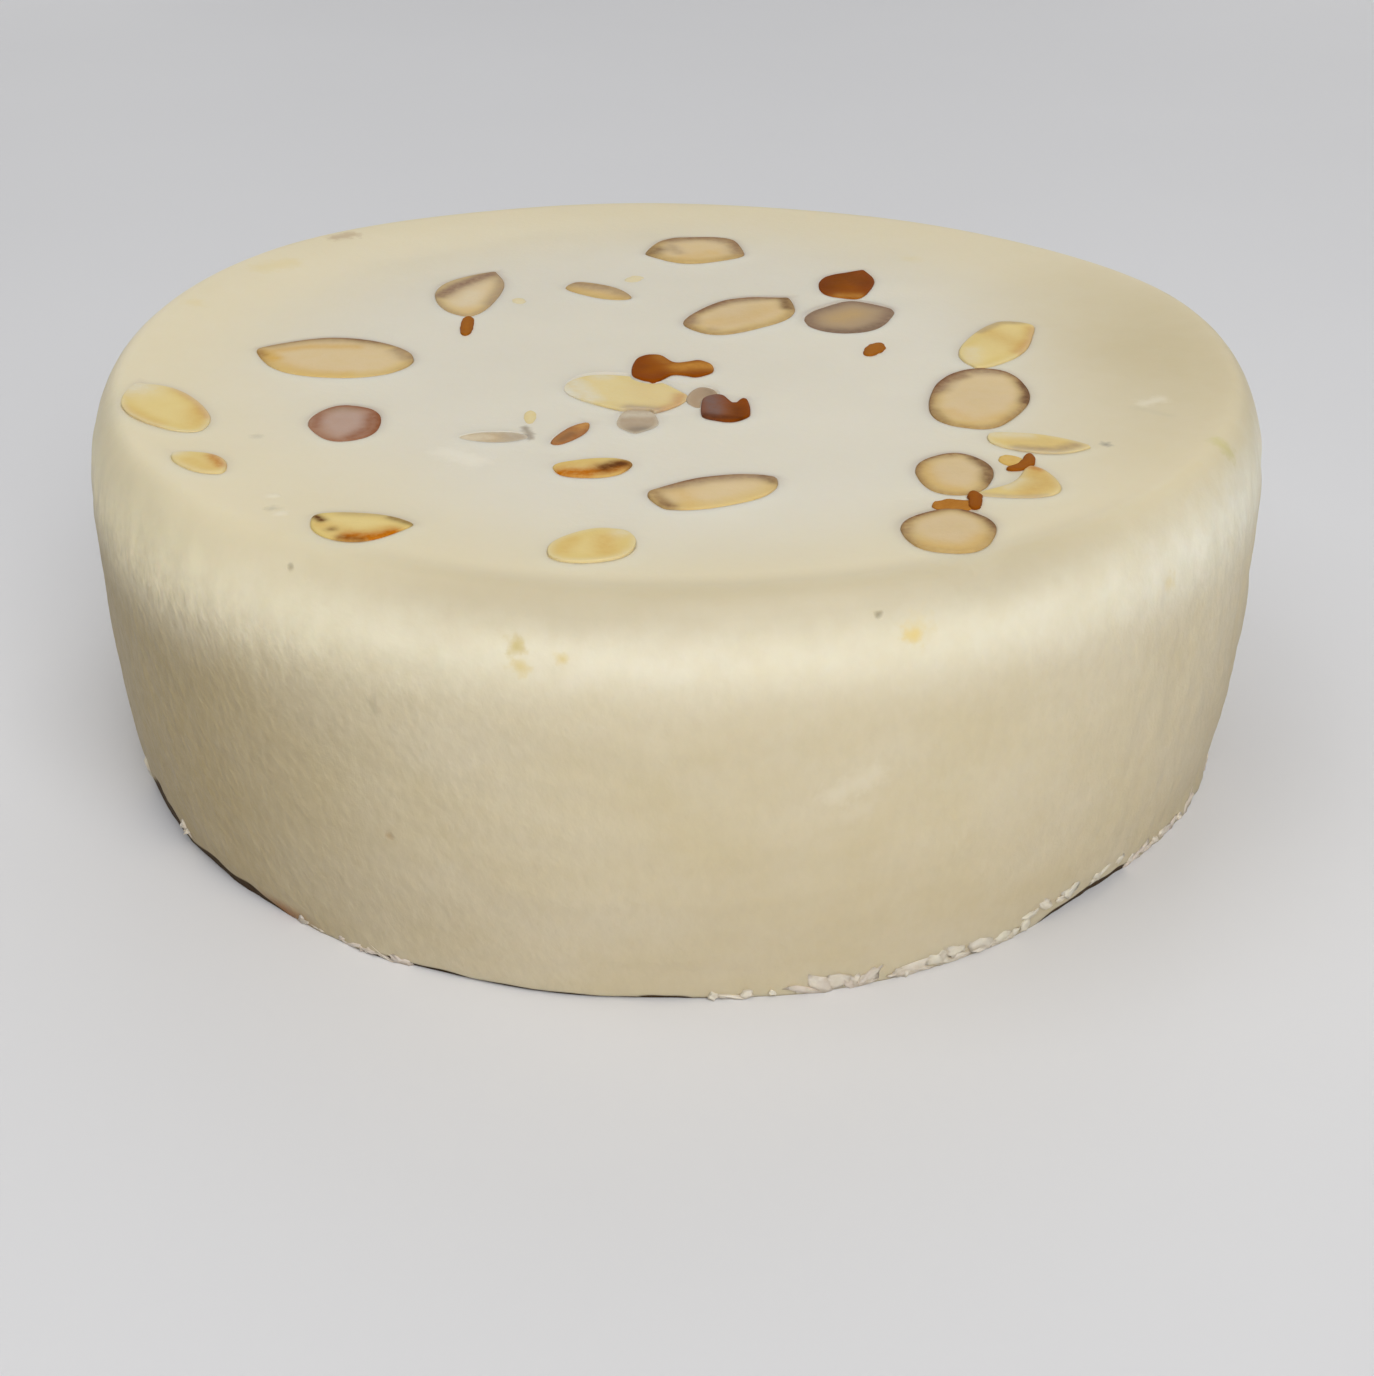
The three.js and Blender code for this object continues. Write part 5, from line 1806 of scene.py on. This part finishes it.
@dataclass
class FootScraps:
    """The torn scraps of custard that stick to the foot.

    Halves are for length, depth and height: the least share of the run's, and what chance adds.
    """

    form: CakeForm
    finish: ScrapFinish
    runs: tuple[ScrapRun, ...] = (
        ScrapRun(203.6, 205.8, 3, 1.4, 3.0, 0.1, 3.0, 2.0),
        ScrapRun(215.8, 218.0, 4, 1.3, 3.0, 0.4, 2.6, 2.2),
        ScrapRun(232, 238, 4, 1.4, 1.0, 0.5),
        ScrapRun(239, 246, 10, 1.7, 1.3, 0.8),
        ScrapRun(272, 282, 7, 1.5, 1.0, 0.4),
        ScrapRun(281, 292, 16, 2.0, 1.6, 0.6),
        ScrapRun(292, 303, 14, 2.2, 1.9, 0.3),
        ScrapRun(303, 319, 8, 2.2, 2.0, 0.2, 2.6),
        ScrapRun(318, 330, 12, 2.3, 2.2, 0.7),
        ScrapRun(330, 343, 10, 2.6, 2.6, 0.8),
        ScrapRun(12, 34, 14, 2.2, 1.7, 0.5),
        ScrapRun(70, 84, 8, 1.9, 1.4, 0.5),
        ScrapRun(108, 128, 14, 2.1, 1.7, 0.5, 1.4),
        ScrapRun(152, 170, 10, 2.1, 1.5, 0.6),
    )
    seed: int = 5
    halves: tuple[Pair, ...] = ((0.4, 1.1), (0.22, 0.26), (0.2, 0.5))
    knobs: tuple[Uneven, ...] = (
        Uneven(0.65, 1.0, 31, (1.9, 1.9, 1.9)),
        Uneven(0.25, 1.0, 32, (4.0, 4.0, 4.0)),
    )
    knob_field: float = 50.0
    lean: float = 1.2
    sunk: float = 0.4
    lowest: float = 0.03

    def blob(self) -> tuple[Array, list]:
        """Makes a round blob to start from, as points of length 1 and triangles."""
        made = bmesh.new()
        bmesh.ops.create_icosphere(made, subdivisions=2, radius=1)
        points = np.array([vertex.co for vertex in made.verts])
        faces = [[vertex.index for vertex in face.verts] for face in made.faces]
        made.free()
        return points, faces

    def build(self) -> bpy.types.Object:
        """Makes the scraps' mesh.

        Returns:
            The object.
        """
        draw = np.random.default_rng(self.seed)
        sphere, sides = self.blob()
        corners, faces, pinks = [], [], []
        for run in self.runs:
            for azimuth in draw.uniform(run.first, run.last, run.count):
                long, tall, thick, shade, turn, lift = draw.uniform(size=6)
                chances = zip((run.length, run.proud, run.height), self.halves, (long**2, thick, tall**2))
                half = np.array([whole * (least + more * luck) for whole, (least, more), luck in chances])
                rough = sphere + draw.uniform(0, self.knob_field, 3)
                knobbly = 1 + sum(knob.at(rough) for knob in self.knobs)
                blob = sphere * knobbly[:, None] * half
                tilt = (turn - 0.5) * self.lean
                along = blob[:, 0] * math.cos(tilt) - blob[:, 2] * math.sin(tilt)
                up = blob[:, 0] * math.sin(tilt) + blob[:, 2] * math.cos(tilt)
                height = run.lifted + half[2] * (0.5 + 0.5 * lift)
                level = np.maximum(height + up, self.lowest)
                az = azimuth + np.degrees(along / self.form.foot_radius)
                out = self.form.foot(az, level) - self.sunk * half[1] + blob[:, 1]
                start = len(sphere) * len(corners)
                corners.append(turned(out, az, level))
                faces += [[start + corner for corner in side] for side in sides]
                pinks.append(np.full(len(sphere), np.clip(run.pink + 0.5 * (shade - 0.5), 0, 1)))
        masks = {"pink": np.concatenate(pinks)}
        return new_object("foot_scraps", np.vstack(corners), faces, masks, self.finish.material())


@dataclass(frozen=True)
class SoftBox:
    """A square soft light that looks at the cake, its places and size in metres."""

    name: str
    at: Spot3
    size: float
    power: float


@dataclass
class Studio:
    """The floor, the lights and the camera, in metres."""

    eye: Spot3 = (0.0, -0.2809, 0.1546)
    pitch: float = 29.28
    lens: float = 50.05
    sensor: float = 36.0
    shift: float = 0.00785
    nearest: float = 0.01
    floor_reach: float = 1.1
    floor_sides: int = 96
    floor_tone: Tone = tone(226, 226, 228)
    floor_shade: Tone = tone(220, 220, 222)
    floor_roughness: float = 0.7
    sky: float = 0.016
    surround: float = 0.8
    boxes: tuple[SoftBox, ...] = (
        SoftBox("key", (0.35, -0.9, 0.95), 0.9, 12.0),
        SoftBox("overhead", (0.0, 0.15, 1.2), 1.0, 1.9),
        SoftBox("front", (0.05, -1.2, 0.30), 0.8, 2.7),
        SoftBox("back", (0.1, 1.0, 0.9), 0.9, 2.8),
        SoftBox("back_left", (-0.62, 1.05, 0.36), 0.7, 1.7),
        SoftBox("back_right", (0.62, 1.05, 0.36), 0.7, 1.7),
        SoftBox("left", (-0.6, -0.2, 1.2), 0.8, 3.6),
    )
    aim: Spot3 = (0.0, 0.0, 0.03)

    def light(self) -> None:
        """Sets the soft lights and the pale surroundings."""
        for box in self.boxes:
            data = bpy.data.lights.new(box.name, "AREA")
            data.shape = "SQUARE"
            data.size = box.size
            data.energy = box.power
            lamp = bpy.data.objects.new(box.name, data)
            lamp.location = box.at
            lamp.rotation_euler = (Vector(self.aim) - Vector(box.at)).to_track_quat("-Z", "Y").to_euler()
            bpy.context.scene.collection.objects.link(lamp)
        world = bpy.data.worlds.new("studio")
        world.use_nodes = True
        board = Board(world.node_tree)
        back = world.node_tree.nodes["Background"]
        back.inputs["Color"].default_value = (1, 1, 1, 1)
        seen = board.add("LightPath").outputs["Is Camera Ray"]
        board.feed(back.inputs["Strength"], board.line(self.sky, self.surround - self.sky, seen))
        bpy.context.scene.world = world

    def floor(self) -> None:
        """Lays the plain pale floor."""
        paint = Paint("floor")
        cloud = paint.blotches(scale=3.0, contrast=1.5)
        paint.coat(paint.mix(cloud, self.floor_tone, self.floor_shade), self.floor_roughness)
        count = self.floor_sides
        corners = turned(np.full(count, self.floor_reach / MM), compass(count), np.zeros(count))
        made = new_object("floor", corners, [list(range(count))], {}, paint.material)

    def camera(self) -> None:
        """Stands the camera where the cake is looked at from."""
        data = bpy.data.cameras.new("camera")
        data.sensor_fit = "VERTICAL"
        data.sensor_height = self.sensor
        data.lens = self.lens
        data.shift_x = self.shift
        data.clip_start = self.nearest
        made = bpy.data.objects.new("camera", data)
        made.location = self.eye
        made.rotation_euler = (math.radians(90 - self.pitch), 0, 0)
        bpy.context.scene.collection.objects.link(made)
        bpy.context.scene.camera = made

    def build(self) -> None:
        """Sets up the whole studio."""
        self.floor()
        self.light()
        self.camera()
        bpy.context.scene.view_settings.view_transform = "Standard"


def settle(piece: bpy.types.Object, node: str | None = None) -> None:
    """Gives a piece to the cake's body and reports it.

    Args:
        piece: The piece.
        node: The solid that it stands for, if any.
    """
    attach(piece, BODY)
    if node:
        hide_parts(node)
    LOG.info("%s: %d faces", piece.name, len(piece.data.polygons))


def main() -> None:
    """Builds the cheesecake round its solids."""
    logging.basicConfig(level=logging.INFO, format="%(name)s: %(message)s")
    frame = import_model()
    almonds = [Almond(frame["nodes"][name]) for name in PIECE_LOOKS]
    body = CustardBody(CakeForm(), almonds, CustardFinish())
    settle(body.build(), "cake")
    for almond in almonds:
        settle(AlmondPiece(almond, PIECE_LOOKS[almond.name]).build(), almond.name)
    settle(Flakes("skin_flakes", SKIN_FLAKES, FINISHES[Look.SKIN], body).build())
    settle(Flakes("pale_flakes", PALE_FLAKES, FINISHES[Look.YELLOW], body).build())
    settle(FootScraps(body.form, ScrapFinish()).build())
    Studio().build()


if __name__ == "__main__":
    main()
